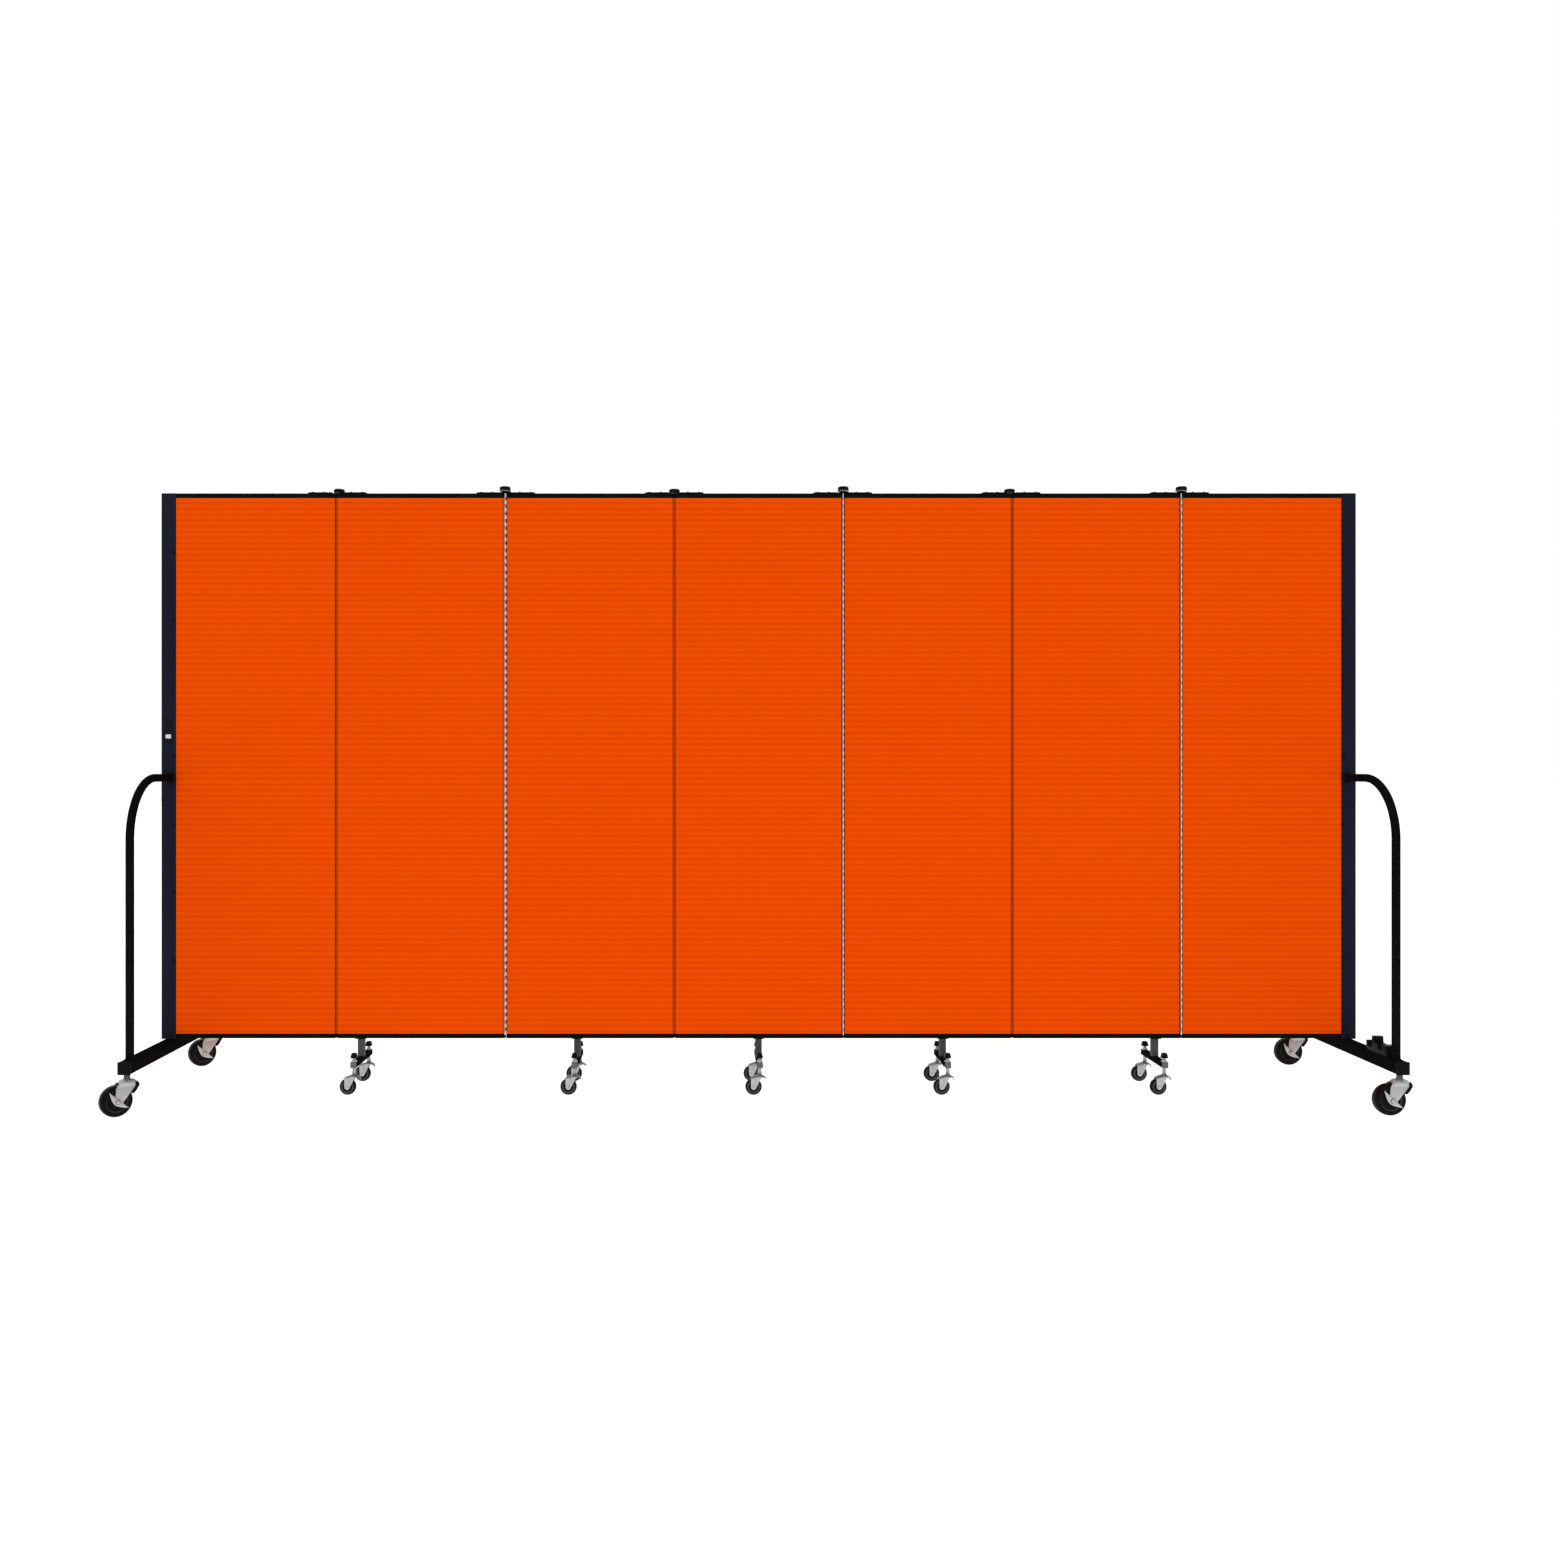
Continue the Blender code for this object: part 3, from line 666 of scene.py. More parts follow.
def build_rails(panel):
    """A panel's rolled rails, side lips and corner rivets."""
    look = settings("frames")
    left, right, bottom, top = panel_edges(panel)
    work = bmesh.new()
    wide = right - left
    for height in (bottom + look.rail / 2, top - look.rail / 2):
        outline = rounded(look.depth, look.rail, look.corner, 3, (0, height))
        add_prism(work, outline, wide, at((left, 0, 0)) @ RIGHTWARD, edge=0.0004, segments=1)
    for edge in (left + look.lip / 2, right - look.lip / 2):
        deep = 2 * (BOARDS[panel][1].y - 0.0003)
        outline = rounded(look.lip, deep, look.lip * 0.4, 2, (edge, 0))
        lift = at((0, 0, bottom + look.rail - 0.001))
        add_prism(work, outline, top - bottom - 2 * look.rail + 0.002, lift)
    for face in (-1, 1):
        for x in (left + 0.014, right - 0.014):
            for z in (bottom + look.rail / 2, top - look.rail / 2):
                seat = at((x, face * (look.depth / 2 - 0.0002), z)) @ OUT_OF_FACE[face]
                add_screw(work, seat, radius=0.0026, height=0.0009, slot=False)
    name = "panel_%d_rails" % panel
    rails = made(name, work, black_paint, "panel_%d" % panel, "panel_frame")
    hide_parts("panel_%d_frame" % panel)


def build_foot(panel):
    """The T-shaped foot under a panel, its stems and its clamping knobs."""
    front, rear = (joint_place("foot_%d_%s_swivel" % (panel, end)) for end in ("front", "rear"))
    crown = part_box("foot_%d_front_fork" % panel)[1].z
    x = front.x
    bar, wide, reach, shown = 0.019, 0.0215, 0.012, 0.0163
    half = bar / 2
    bar_low = crown + shown
    bar_high = bar_low + bar
    bottom = panel_edges(panel)[2]
    work = bmesh.new()
    square = rounded(bar, bar, 0.0018, 3)
    post = rounded(wide, wide, 0.0020, 3)
    upright = at((x, 0, bar_high - 0.001))
    tall = bmesh.new()
    add_prism(tall, post, bottom - bar_high + 0.0005, upright, edge=0.0003, segments=1)
    across = at((x, rear.y + reach - 0.002, bar_low + half)) @ FORWARD
    add_prism(work, square, rear.y - front.y + 2 * reach - 0.004, across, edge=0.0003, segments=1)
    add_box(work, (x - 0.018, -0.016, bottom - 0.0022), (x + 0.018, 0.016, bottom), edge=0.0006)
    body = "panel_%d" % panel
    made("panel_%d_foot" % panel, work, black_paint, body, "panel_frame")
    made("panel_%d_foot_post" % panel, tall, grey_black, body, "panel_frame")
    caps = bmesh.new()
    for y, way in ((front.y - reach, -1), (rear.y + reach, 1)):
        middle = y - way * 0.0015
        add_box(
            caps,
            (x - half - 0.0004, middle - 0.0015, bar_low - 0.0004),
            (x + half + 0.0004, middle + 0.0015, bar_high + 0.0004),
            edge=0.0012,
        )
    knobs, stems = bmesh.new(), bmesh.new()
    for place in (front, rear):
        foot = at((x, place.y, 0))
        low_stem = [(0, bar_low + 0.0005), (0.0058, bar_low + 0.0005)]
        low_stem += thread(bar_low - 0.002, crown + 0.0030, 0.0058, 0.0050, 4)
        low_stem += [(0.0070, crown + 0.0026), (0.0070, crown + 0.0003), (0, crown + 0.0003)]
        add_turned(stems, low_stem, foot, sides=20)
        high_stem = [(0, 0.0140), (0.0046, 0.0140), *thread(0.0130, 0.0062, 0.0048, 0.0040, 3)]
        high_stem += [(0.0076, 0.0058), (0.0080, 0.0030), (0.0098, 0.0022), (0.0098, 0.0002)]
        add_turned(stems, high_stem + [(0, 0.0002)], foot @ at((0, 0, bar_high)), sides=20)
        lift = foot @ at((0, 0, bar_high + 0.0118))
        rings = [
            (0.0090, 0.0), (0.0122, 0.0008), (0.0124, 0.0034), (0.0092, 0.0150), (0.0070, 0.0164),
        ]
        add_facets(knobs, rings, lift)
    made("panel_%d_foot_caps" % panel, caps, grey_plastic, body, "panel_frame")
    made("panel_%d_foot_stems" % panel, stems, zinc, body, "caster_fork")
    made("panel_%d_foot_knobs" % panel, knobs, black_plastic, body, "hinge_cap", sharp=25)


def add_facets(work, rings, place, sides=6):
    """A faceted knob from (radius, height) rings, closed above and below."""
    made_rings = []
    for radius, height in rings:
        outline = regular(sides, radius, math.pi / 6)
        made_rings.append([work.verts.new(place @ Vector((x, y, height))) for x, y in outline])
    for lower, upper in zip(made_rings, made_rings[1:]):
        bridge(work, lower, upper)
    work.faces.new(made_rings[0][::-1])
    work.faces.new(made_rings[-1])


def thread(top, bottom, crest, root, turns):
    """A screw thread's side, as rings from its top down."""
    points = []
    step = (top - bottom) / turns
    for turn in range(turns):
        high = top - step * turn
        points += [(crest, high), (crest, high - step * 0.4), (root, high - step * 0.7)]
    return points


def joint_place(name):
    return Vector(JOINTS[name]["pos_m"])


# ---- Hinges ----
def build_leaf(seam, side):
    """One leaf of a seam's hinge, with its knuckles. Side -1 is the panel left of the seam."""
    look, frames = settings("hinges"), settings("frames")
    axis = SEAMS[seam]
    out = math.copysign(1, axis.y)
    panel = seam if side < 0 else seam + 1
    bottom, top = panel_edges(panel)[2:]
    work = bmesh.new()
    near = axis.x + side * (look.seam / 2 - look.leaf)
    far = axis.x + side * look.seam / 2
    face = out * (frames.depth / 2 - (0.0004 if side < 0 else 0.0030))
    # The leaf plate and its wraps take the black paint: painted shade that keeps the seam's gap
    # dark.
    plate = bmesh.new()
    start, end = (near, face, bottom + 0.001), (far, face - out * 0.022, top - 0.001)
    add_box(plate, start, end, edge=0.0003, segments=1)
    first = bottom + look.inset
    pitch = (top - look.inset - first) / look.knuckles
    half = pitch / 4 - look.gap / 2
    bore, rim = look.pin + 0.0002, look.barrel - 0.0002
    knuckle = [
        (bore, half), (rim, half), (look.barrel, half - 0.0004), (look.barrel, 0.0004 - half),
        (rim, -half), (bore, -half), (bore, half),
    ]
    for count in range(look.knuckles):
        height = first + pitch * (count + (0.25 if side < 0 else 0.75))
        add_turned(work, knuckle, at((axis.x, axis.y, height)), sides=12)
        # Each wrap joins the black plate: painted shade beside its knuckle.
        wrap = (near + side * 0.0002, face - out * 0.001, height - half)
        add_box(plate, wrap, (axis.x + side * 0.0014, axis.y + out * 0.0008, height + half))
    if side < 0:
        strip = bmesh.new()
        if out < 0:
            back, start, across = axis.y + 0.0036, near, look.seam / 2 - look.leaf - 0.0006
        else:
            back, start, across = -frames.depth / 2 + 0.0045, far, look.seam / 2 - 0.0008
        levels = (bottom + 0.001, bottom + frames.rail, top - frames.rail, top - 0.001)
        for part, low, high in zip((plate, strip, plate), levels, levels[1:]):
            add_box(part, (start, back, low), (axis.x + across, back + 0.0008, high))
        made("hinge_%d_strip" % seam, strip, seam_strip, "panel_%d" % panel, "orange_cover")
    name = "hinge_%d_%s" % (seam, "left" if side < 0 else "right")
    made(name + "_leaf", plate, black_paint, "panel_%d" % panel, "panel_frame")
    bmesh.ops.remove_doubles(work, verts=work.verts, dist=1e-6)
    # The right leaf's knuckles take the half-bright steel: painted shade on every second knuckle of
    # the barrel.
    steel = hinge_steel if side < 0 else shaded_hinge_steel
    made(name + "_knuckles", work, steel, "panel_%d" % panel, None)


def build_arm(seam, side):
    """A top arm: a flat bar on the rail, ending in a lug round the pin."""
    look = settings("hinges")
    axis = SEAMS[seam]
    panel = seam if side < 0 else seam + 1
    body = "panel_%d" % panel
    out = math.copysign(1, axis.y)
    level = PANEL_TOP + CLEAR + (look.lug + CLEAR if side > 0 else 0.0)
    half = look.arm_width / 2
    inner, outer = look.lug_radius + 0.002, look.arm_reach
    arm = bmesh.new()
    outline = [(inner, -half), *nose_points(half, outer), (inner, half)]
    place = at((axis.x, 0, PANEL_TOP + 0.0001))
    if side < 0:
        place = place @ HALF_TURN
    add_prism(arm, outline, 2 * (look.lug + CLEAR) - 0.0004, place, edge=0.0007)
    lug = arc((0, 0), look.lug_radius, 100, 260, 14)
    neck_y = -out * side * (abs(axis.y) - 0.004)
    lug += [(inner + 0.003, neck_y - 0.010), (inner + 0.003, neck_y + 0.010)]
    lug_place = at((axis.x, axis.y, level))
    if side < 0:
        lug_place = lug_place @ HALF_TURN
    add_prism(arm, lug, look.lug, lug_place, edge=0.0004)
    name = "hinge_%d_%s_arm" % (seam, "left" if side < 0 else "right")
    made(name, arm, black_paint, body, "panel_frame")
    screws = bmesh.new()
    for reach in (0.045, 0.082):
        seat = (axis.x + side * reach, 0, PANEL_TOP + 2 * (look.lug + CLEAR) - 0.0005)
        add_screw(screws, at(seat), radius=0.0056, height=0.0034)
    made(name + "_screws", screws, black_plastic, body, "hinge_cap")


def nose_points(half, outer):
    """The rounded free end of a top arm."""
    radius = 0.006
    first = arc((outer - radius, -half + radius), radius, -90, 0, 4)
    return first + arc((outer - radius, half - radius), radius, 0, 90, 4)


def build_cap(seam):
    """The pin, its washer and the round cap that stands on a hinge."""
    look = settings("hinges")
    axis = SEAMS[seam]
    body = "panel_%d" % seam
    seat = PANEL_TOP + 2 * (look.lug + CLEAR) + CLEAR
    low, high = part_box("hinge_%d_pin" % seam)
    tall, rim = high.z - seat - 0.0050, look.cap
    place = at((axis.x, axis.y, seat))
    work = bmesh.new()
    shares = [
        (0, 1), (0.70, 0.985), (0.84, 0.94), (0.92, 0.82), (0.95, 0.66), (0.93, 0.46),
        (0.93, 0.32), (0.98, 0.20), (1, 0.13), (1, 0.06),
    ]
    profile = [(rim * wide, tall * up) for wide, up in shares]
    add_turned(work, profile + [(rim * 0.97, 0.0009), (0, 0.0009)], place, sides=40)
    cap = made("hinge_%d_cap" % seam, work, black_plastic, body, "hinge_cap")
    steel = bmesh.new()
    rod = [(0, seat - 0.0004), (look.pin, seat - 0.0004), (look.pin, low.z), (0, low.z - 0.0006)]
    add_turned(steel, rod, at((axis.x, axis.y, 0)), sides=12)
    head = [(0, 0.0024), (0.0026, 0.0018), (0.0036, 0.0004), (0.0036, 0), (0, 0)]
    above = at((axis.x, axis.y, panel_edges(seam)[3] - look.inset + 0.0004))
    add_turned(steel, head, above, sides=16)
    washer = [(0, 0.0008), (rim * 0.90, 0.0008), (rim * 0.92, 0.0005), (rim * 0.92, 0), (0, 0)]
    add_turned(steel, washer, place, sides=40)
    made("hinge_%d_steel_pin" % seam, steel, hinge_steel, body, None)
    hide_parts("hinge_%d_pin" % seam)


# ---- End frames ----
def build_post(end, side):
    """A square end post with its plug, screws and bolts."""
    look = settings("frames")
    low, high = POSTS[end]
    wide, deep = high.x - low.x, high.y - low.y
    centre = (low + high) / 2
    body = END_BODIES[side]
    work = bmesh.new()
    outline = rounded(wide, deep, look.tube_corner, 4)
    base = at((centre.x, centre.y, low.z))
    add_prism(work, outline, high.z - low.z - 0.0018, base)
    post = made("end_post_%s_tube" % end, work, blue_black, body, "end_frame")
    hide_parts("end_post_" + end)
    plug = bmesh.new()
    seat = at((centre.x, centre.y, high.z - 0.0018))
    outline = rounded(wide - 0.0004, deep - 0.0004, look.tube_corner, 4)
    add_prism(plug, outline, 0.0018, seat, edge=0.0007)
    made("end_post_%s_plug" % end, plug, black_plastic, body, "end_frame")
    screws = bmesh.new()
    inner = centre.x - side * (wide / 2 - 0.0075)
    count = int((high.z - look.screw_top - low.z) / look.screw_pitch) + 1
    for row in range(count):
        z = high.z - look.screw_top - row * look.screw_pitch
        for face in (-1, 1):
            seat = at((inner, face * (deep / 2 - 0.0002), z)) @ OUT_OF_FACE[face]
            add_screw(screws, seat, radius=0.0050, height=0.0030)
    made("end_post_%s_screws" % end, screws, black_plastic, body, "end_frame")
    bolts = bmesh.new()
    brace_bolt = 0.955
    outer = centre.x + side * (wide / 2 - 0.0002)
    for z in (brace_bolt, low.z + 0.022):
        seat = at((outer, 0, z)) @ OUT_OF_SIDE[side]
        add_bolt(bolts, seat, radius=0.0062, height=0.0040, washer=0.0085)
    front = at((centre.x - side * 0.002, -deep / 2 + 0.0002, low.z + 0.014))
    add_bolt(bolts, front @ FORWARD, radius=0.0056, height=0.0034, washer=0.0078)
    made("end_post_%s_bolts" % end, bolts, blue_black, body, "end_frame")


def build_bar(end, side):
    """A square foot bar with its end caps and threaded stem collars."""
    look = settings("frames")
    low, high = BARS[end]
    stem = joint_place("end_%s_front_swivel" % end)
    size = 0.038
    middle = Vector((stem.x, 0, high.z - size / 2))
    half = (high.y - low.y) / 2
    body = END_BODIES[side]
    work = bmesh.new()
    tube = rounded(size, size, look.tube_corner, 4)
    rear = at((middle.x, half - 0.004, middle.z)) @ FORWARD
    add_prism(work, tube, 2 * half - 0.008, rear)
    bar = made("foot_bar_%s_tube" % end, work, black_paint, body, "end_frame")
    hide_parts("foot_bar_" + end)
    caps = bmesh.new()
    for way in (-1, 1):
        near, far = way * (half - 0.0055), way * (half + 0.0012)
        grow = size / 2 + 0.0011
        add_box(
            caps,
            (middle.x - grow, min(near, far), middle.z - grow),
            (middle.x + grow, max(near, far), middle.z + grow),
            edge=0.0026,
            segments=3,
        )
    made("foot_bar_%s_caps" % end, caps, black_plastic, body, "end_frame")
    stems = bmesh.new()
    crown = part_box("end_%s_front_fork" % end)[1].z
    under = high.z - size
    for place in ("front", "rear"):
        y = joint_place("end_%s_%s_swivel" % (end, place)).y
        foot = at((stem.x, y, 0))
        collar = [(0, under + 0.0002), (0.0098, under + 0.0002), (0.0098, under - 0.0030)]
        collar += thread(under - 0.0032, crown + 0.0040, 0.0096, 0.0082, 4)
        collar += [
            (0.0108, crown + 0.0034), (0.0110, crown + 0.0010), (0.0104, crown + 0.0003),
            (0, crown + 0.0003),
        ]
        add_turned(stems, collar, foot, sides=28)
    # The threaded stems take the shaded zinc: painted shade on the threads.
    made("foot_bar_%s_stems" % end, stems, shaded_zinc, body, "caster_fork")


def build_brace(end, side):
    """The bent brace tube, with a sleeve at the post and a weld ring at the foot bar."""
    low, high = TUBES[end]
    radius = (high.x - low.x) / 2
    x = (low.x + high.x) / 2
    bend = 0.190
    top, reach = high.z - radius, low.y + radius
    body = END_BODIES[side]
    route = [(x, high.y, top)]
    steps = 28
    for step in range(steps + 1):
        angle = math.pi / 2 * step / steps
        route.append(
            (x, reach + bend - bend * math.sin(angle), top - bend + bend * math.cos(angle))
        )
    route.append((x, reach, low.z))
    data = bpy.data.curves.new("brace_%s_tube" % end, "CURVE")
    data.dimensions = "3D"
    data.bevel_depth = radius
    data.bevel_resolution = 7
    data.use_fill_caps = True
    spline = data.splines.new("POLY")
    spline.points.add(len(route) - 1)
    for point, where in zip(spline.points, route):
        point.co = (*where, 1)
    spline.use_smooth = True
    data.materials.append(finish_named(black_paint))
    tube = put("brace_%s_tube" % end, data, body)
    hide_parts("brace_tube_" + end)
    rings = bmesh.new()
    forward = at((x, high.y + 0.0002, top)) @ FORWARD
    sleeve = [
        (0, 0.0), (radius + 0.0034, 0.0), (radius + 0.0034, 0.0150), (radius + 0.0022, 0.0166),
        (radius - 0.0004, 0.0166),
    ]
    add_turned(rings, sleeve, forward, sides=36)
    made("brace_%s_sleeve" % end, rings, black_plastic, body, "end_frame")
    weld = bmesh.new()
    bead = [
        (radius - 0.0005, 0.0044), (radius + 0.0010, 0.0034), (radius + 0.0026, 0.0012),
        (radius + 0.0030, 0.0), (0, 0.0),
    ]
    add_turned(weld, bead, at((x, reach, low.z)), sides=36)
    made("brace_%s_weld" % end, weld, black_paint, body, "end_frame")


def build_clip():
    """The stepped clip that holds the folded screen."""
    low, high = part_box("storage_clip")
    y0, y1, base = low.y, high.y, low.z
    from_rear = [
        (0, 0.030), (0.012, 0.030), (0.012, 0.012), (0.036, 0.012), (0.036, 0.050),
        (0.050, 0.050), (0.050, 0.030), (0.072, 0.030), (0.072, 0.014),
    ]
    from_front = [(0.030, 0.014), (0.030, 0.034), (0.004, 0.034), (0, 0.028)]
    outline = [(y0, base), (y1, base)]
    outline += [(y1 - in_from, base + up) for in_from, up in from_rear]
    outline += [(y0 + in_from, base + up) for in_from, up in from_front]
    work = bmesh.new()
    add_prism(work, outline, high.x - low.x, at((low.x, 0, 0)) @ RIGHTWARD, edge=0.0008)
    for y, up in ((y0 + 0.045, 0.014), (y1 - 0.024, 0.012)):
        seat = at(((low.x + high.x) / 2, y, base + up - 0.0003))
        add_screw(work, seat, radius=0.0050, height=0.0028)
    clip = made("storage_clip_body", work, black_plastic, END_BODIES[1], "storage_clip")
    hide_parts("storage_clip")


def build_label():
    """A plain label on the left post: dark film and a small pale field, with nothing on it."""
    low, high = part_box("blank_label")
    thick = high.y - low.y
    wide, tall = high.x - low.x, high.z - low.z
    centre = (low + high) / 2
    work = bmesh.new()
    back = at((centre.x, high.y, centre.z)) @ FORWARD
    add_prism(work, rounded(wide, tall, 0.002, 4), thick, back, edge=0.0002, segments=1)
    film = made("label_film", work, label_film, END_BODIES[-1], "label")
    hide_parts("blank_label")
    field = bmesh.new()
    front = at((centre.x, low.y + 0.00005, centre.z - tall * 0.19)) @ FORWARD
    add_prism(field, rounded(wide * 0.62, tall * 0.15, 0.001, 3), 0.0002, front)
    made("label_field", field, label_white, END_BODIES[-1], "label")


# ---- Casters ----
def race_lumps(work, radius, height, size, count):
    """Pressed lumps round the top of a swivel race."""
    for i in range(count):
        angle = math.tau * (i + 0.5) / count
        where = (radius * math.cos(angle), radius * math.sin(angle), height)
        scale = Matrix.Diagonal((1, 1, 0.7, 1))
        matrix = at(where) @ scale
        bmesh.ops.create_uvsphere(work, u_segments=10, v_segments=6, radius=size, matrix=matrix)


def caster_sizes(name):
    """A caster's trail, its wheel's radius and the height of its crown."""
    stem, axle = joint_place(name + "_swivel"), joint_place(name + "_roll")
    return (stem.xy - axle.xy).length, axle.z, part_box(name + "_fork")[1].z


def large_fork():
    """Crown with its ball race, sloping shoulders and two flat legs down to the axle."""
    trail, axle, top = caster_sizes("end_right_front")
    work = bmesh.new()
    race = [
        (0, 0), (0.0112, 0), (0.0124, -0.0008), (0.0150, -0.0012), (0.0200, -0.0018),
        (0.0238, -0.0032), (0.0264, -0.0052), (0.0272, -0.0066), (0.0266, -0.0080), (0, -0.0080),
    ]
    add_turned(work, race, at((0, 0, top)), sides=40)
    race_lumps(work, radius=0.0205, height=top - 0.0022, size=0.0026, count=10)
    rear, front = (-trail - 0.0038, top - 0.0202), (0.0190, top - 0.0182)
    steps, shoulder, leg, sheet = 10, 0.0250, 0.0198, 0.0022
    for side in (-1, 1):
        around = arc((0, 0), shoulder, side * 160, side * 20, steps)
        upper = [Vector((x, y, top - 0.0046)) for x, y in around]
        down = [Vector(rear).lerp(Vector(front), i / steps) for i in range(steps + 1)]
        lower = [Vector((x, side * leg, z)) for x, z in down]
        middle = [
            a.lerp(b, 0.55) + Vector((0, side * 0.0012, 0.0016)) for a, b in zip(upper, lower)
        ]
        add_sheet(work, [upper, middle, lower], 0.0018)
        outline = leg_outline((0.0045 - trail, axle - 0.001), 0.0112, front, rear)
        near = at((0, side * leg + (sheet if side < 0 else 0.0), 0))
        add_prism(work, outline, sheet, near @ FORWARD, edge=0.0006)
    return mesh_from(work, "large_fork", finish_named(zinc), sharp=30)


def large_guard():
    """A black plastic block between the legs, in front of the wheel: painted shade where the fork's
    inside falls dark.
    """
    trail, axle, top = caster_sizes("end_right_front")
    outline = [
        (0.0262, top - 0.0058), (0.0304, top - 0.0092), (0.0330, top - 0.0180),
        (0.0236, top - 0.0340), (0.0146, top - 0.0430),
    ]
    outline += arc((-trail, axle), axle + 0.0016, 21, 62, 8) + [(-0.0080, top - 0.0070)]
    work = bmesh.new()
    add_prism(work, outline, 0.0340, at((0, 0.0170, 0)) @ FORWARD, edge=0.0012)
    return mesh_from(work, "large_guard", finish_named(black_plastic), sharp=30)


def leg_outline(axle, boss, front, rear):
    """A leg below its bend: straight sides that run tangent to the round end at the axle."""
    angles = []
    for corner, side in ((front, -1), (rear, 1)):
        dx, dz = corner[0] - axle[0], corner[1] - axle[1]
        turn = side * math.acos(boss / math.hypot(dx, dz))
        angles.append(math.degrees(math.atan2(dz, dx) + turn))
    start, end = angles[0] % 360, angles[1] % 360
    sweep = (start - end) % 360
    return [front, *arc(axle, boss, start, start - sweep, 12), rear]


def large_axle():
    """The hexagonal nuts with domed ends on the axle bolt."""
    trail, axle, top = caster_sizes("end_right_front")
    work = bmesh.new()
    for side in (-1, 1):
        place = at((-trail, side * 0.0245, axle)) @ OUT_OF_FACE[side]
        raised = place @ at((0, 0, 0.0012))
        add_prism(work, regular(6, 0.0062), 0.0030, raised, edge=0.0005)
        dome = [(0, 0.0066), (0.0022, 0.0062), (0.0038, 0.0052), (0.0048, 0.0038), (0, 0.0036)]
        add_turned(work, dome, place, sides=20)
    return mesh_from(work, "large_axle", finish_named(zinc), sharp=30)


def large_washers():
    """The washers under the axle's nuts, darkened with painted shade."""
    trail, axle, top = caster_sizes("end_right_front")
    work = bmesh.new()
    for side in (-1, 1):
        place = at((-trail, side * 0.0245, axle)) @ OUT_OF_FACE[side]
        ring = [(0, 0.0014), (0.0070, 0.0014), (0.0077, 0.0008), (0.0077, -0.0040), (0, -0.0040)]
        add_turned(work, ring, place, sides=28)
    return mesh_from(work, "large_washers", finish_named(shaded_zinc), sharp=30)


def wheel_mesh(outline):
    """A wheel turned about Y, from its near half's (radius, y) points."""
    work = bmesh.new()
    profile = [(r, h) for r, h in outline] + [(r, -h) for r, h in reversed(outline)]
    add_turned(work, profile, FORWARD, sides=64)
    return work


def ringed(mesh, inner, outer):
    """Give the ring between two shares of a wheel's radius the lighter colour of the painted
    highlight.
    """
    mesh.materials.append(finish_named(painted_wheel_highlight))
    radius = max(vert.co.x for vert in mesh.vertices)
    for face in mesh.polygons:
        away = math.hypot(face.center.x, face.center.z) / radius
        if inner < away < outer:
            face.material_index = 1
    return mesh


def large_wheel():
    """A wheel with a hub, a dished side, a raised ring and a rounded tread."""
    radius = caster_sizes("end_right_front")[1]
    outline = [
        (0.0062, 0.0160), (0.0112, 0.0160), (0.0118, 0.0150), (0.0130, 0.0138),
        (radius - 0.0180, 0.0134), (radius - 0.0162, 0.0146), (radius - 0.0150, 0.0158),
        (radius - 0.0090, 0.0160), (radius - 0.0048, 0.0154), (radius - 0.0020, 0.0134),
        (radius - 0.0006, 0.0100), (radius, 0.0050),
    ]
    work = wheel_mesh(outline)
    for i in range(5):
        angle = math.tau * (i + 0.3) / 5
        for face in (-1, 1):
            where = (0.0262 * math.cos(angle), face * 0.0138, 0.0262 * math.sin(angle))
            matrix = at(where) @ Matrix.Diagonal((1, 0.5, 1, 1))
            bmesh.ops.create_uvsphere(
                work, u_segments=10, v_segments=6, radius=0.0020, matrix=matrix
            )
    wheel = mesh_from(work, "large_wheel", finish_named(tyre), sharp=30)
    return ringed(wheel, inner=0.62, outer=0.68)


def brake_lever():
    """A pressed crescent with narrow tips, domed towards its middle, about the axle."""
    look = settings("casters")
    work = bmesh.new()
    rows = []
    along, across = 24, 8
    tilt = Matrix.Rotation(look.lever_tilt, 4, "Y")
    for i in range(along + 1):
        t = 2 * i / along - 1
        middle = 0.0078 * t * t - 0.0012
        half = look.lever_width / 2 * (1 - abs(t) ** 1.35) + 0.0004
        row = []
        for j in range(across + 1):
            s = 2 * j / across - 1
            proud = 0.0026 * (1 - s ** 4) * (1 - t * t) + 0.0012 * (1 - abs(s) ** 6)
            row.append(
                tilt @ Vector((look.lever_half * t, -0.0213 - proud, middle + half * s))
            )
        rows.append(row)
    add_sheet(work, rows, 0.0012)
    return mesh_from(work, "brake_lever", finish_named(zinc), sharp=40)


def small_hood():
    """A saddle folded over the legs, with a neck for the stem and a beak in front."""
    trail, axle, top = caster_sizes("foot_4_front")
    work = bmesh.new()
    neck = [
        (0, 0), (0.0056, 0), (0.0062, -0.0008), (0.0062, -0.0044), (0.0078, -0.0060),
        (0.0092, -0.0074), (0, -0.0074),
    ]
    add_turned(work, neck, at((0, 0, top)), sides=28)
    ridge = [
        (-0.0300, 0.0152, 0.0120), (-0.0255, 0.0128, 0.0142), (-0.0190, 0.0106, 0.0146),
        (-0.0120, 0.0084, 0.0146), (-0.0050, 0.0068, 0.0146), (0.0040, 0.0068, 0.0146),
        (0.0100, 0.0086, 0.0138), (0.0150, 0.0108, 0.0118), (0.0188, 0.0136, 0.0094),
        (0.0208, 0.0172, 0.0064), (0.0206, 0.0212, 0.0030),
    ]
    rows = []
    for x, drop, half in ridge:
        row = []
        for step in range(-4, 5):
            share = step / 4
            z = top - drop - 0.0030 * abs(share) ** 3
            row.append(Vector((x, half * share, z)))
        rows.append(row)
    add_sheet(work, rows, 0.0012)
    # The hood takes the shaded zinc: painted shade on its top.
    return mesh_from(work, "small_hood", finish_named(shaded_zinc), sharp=30)


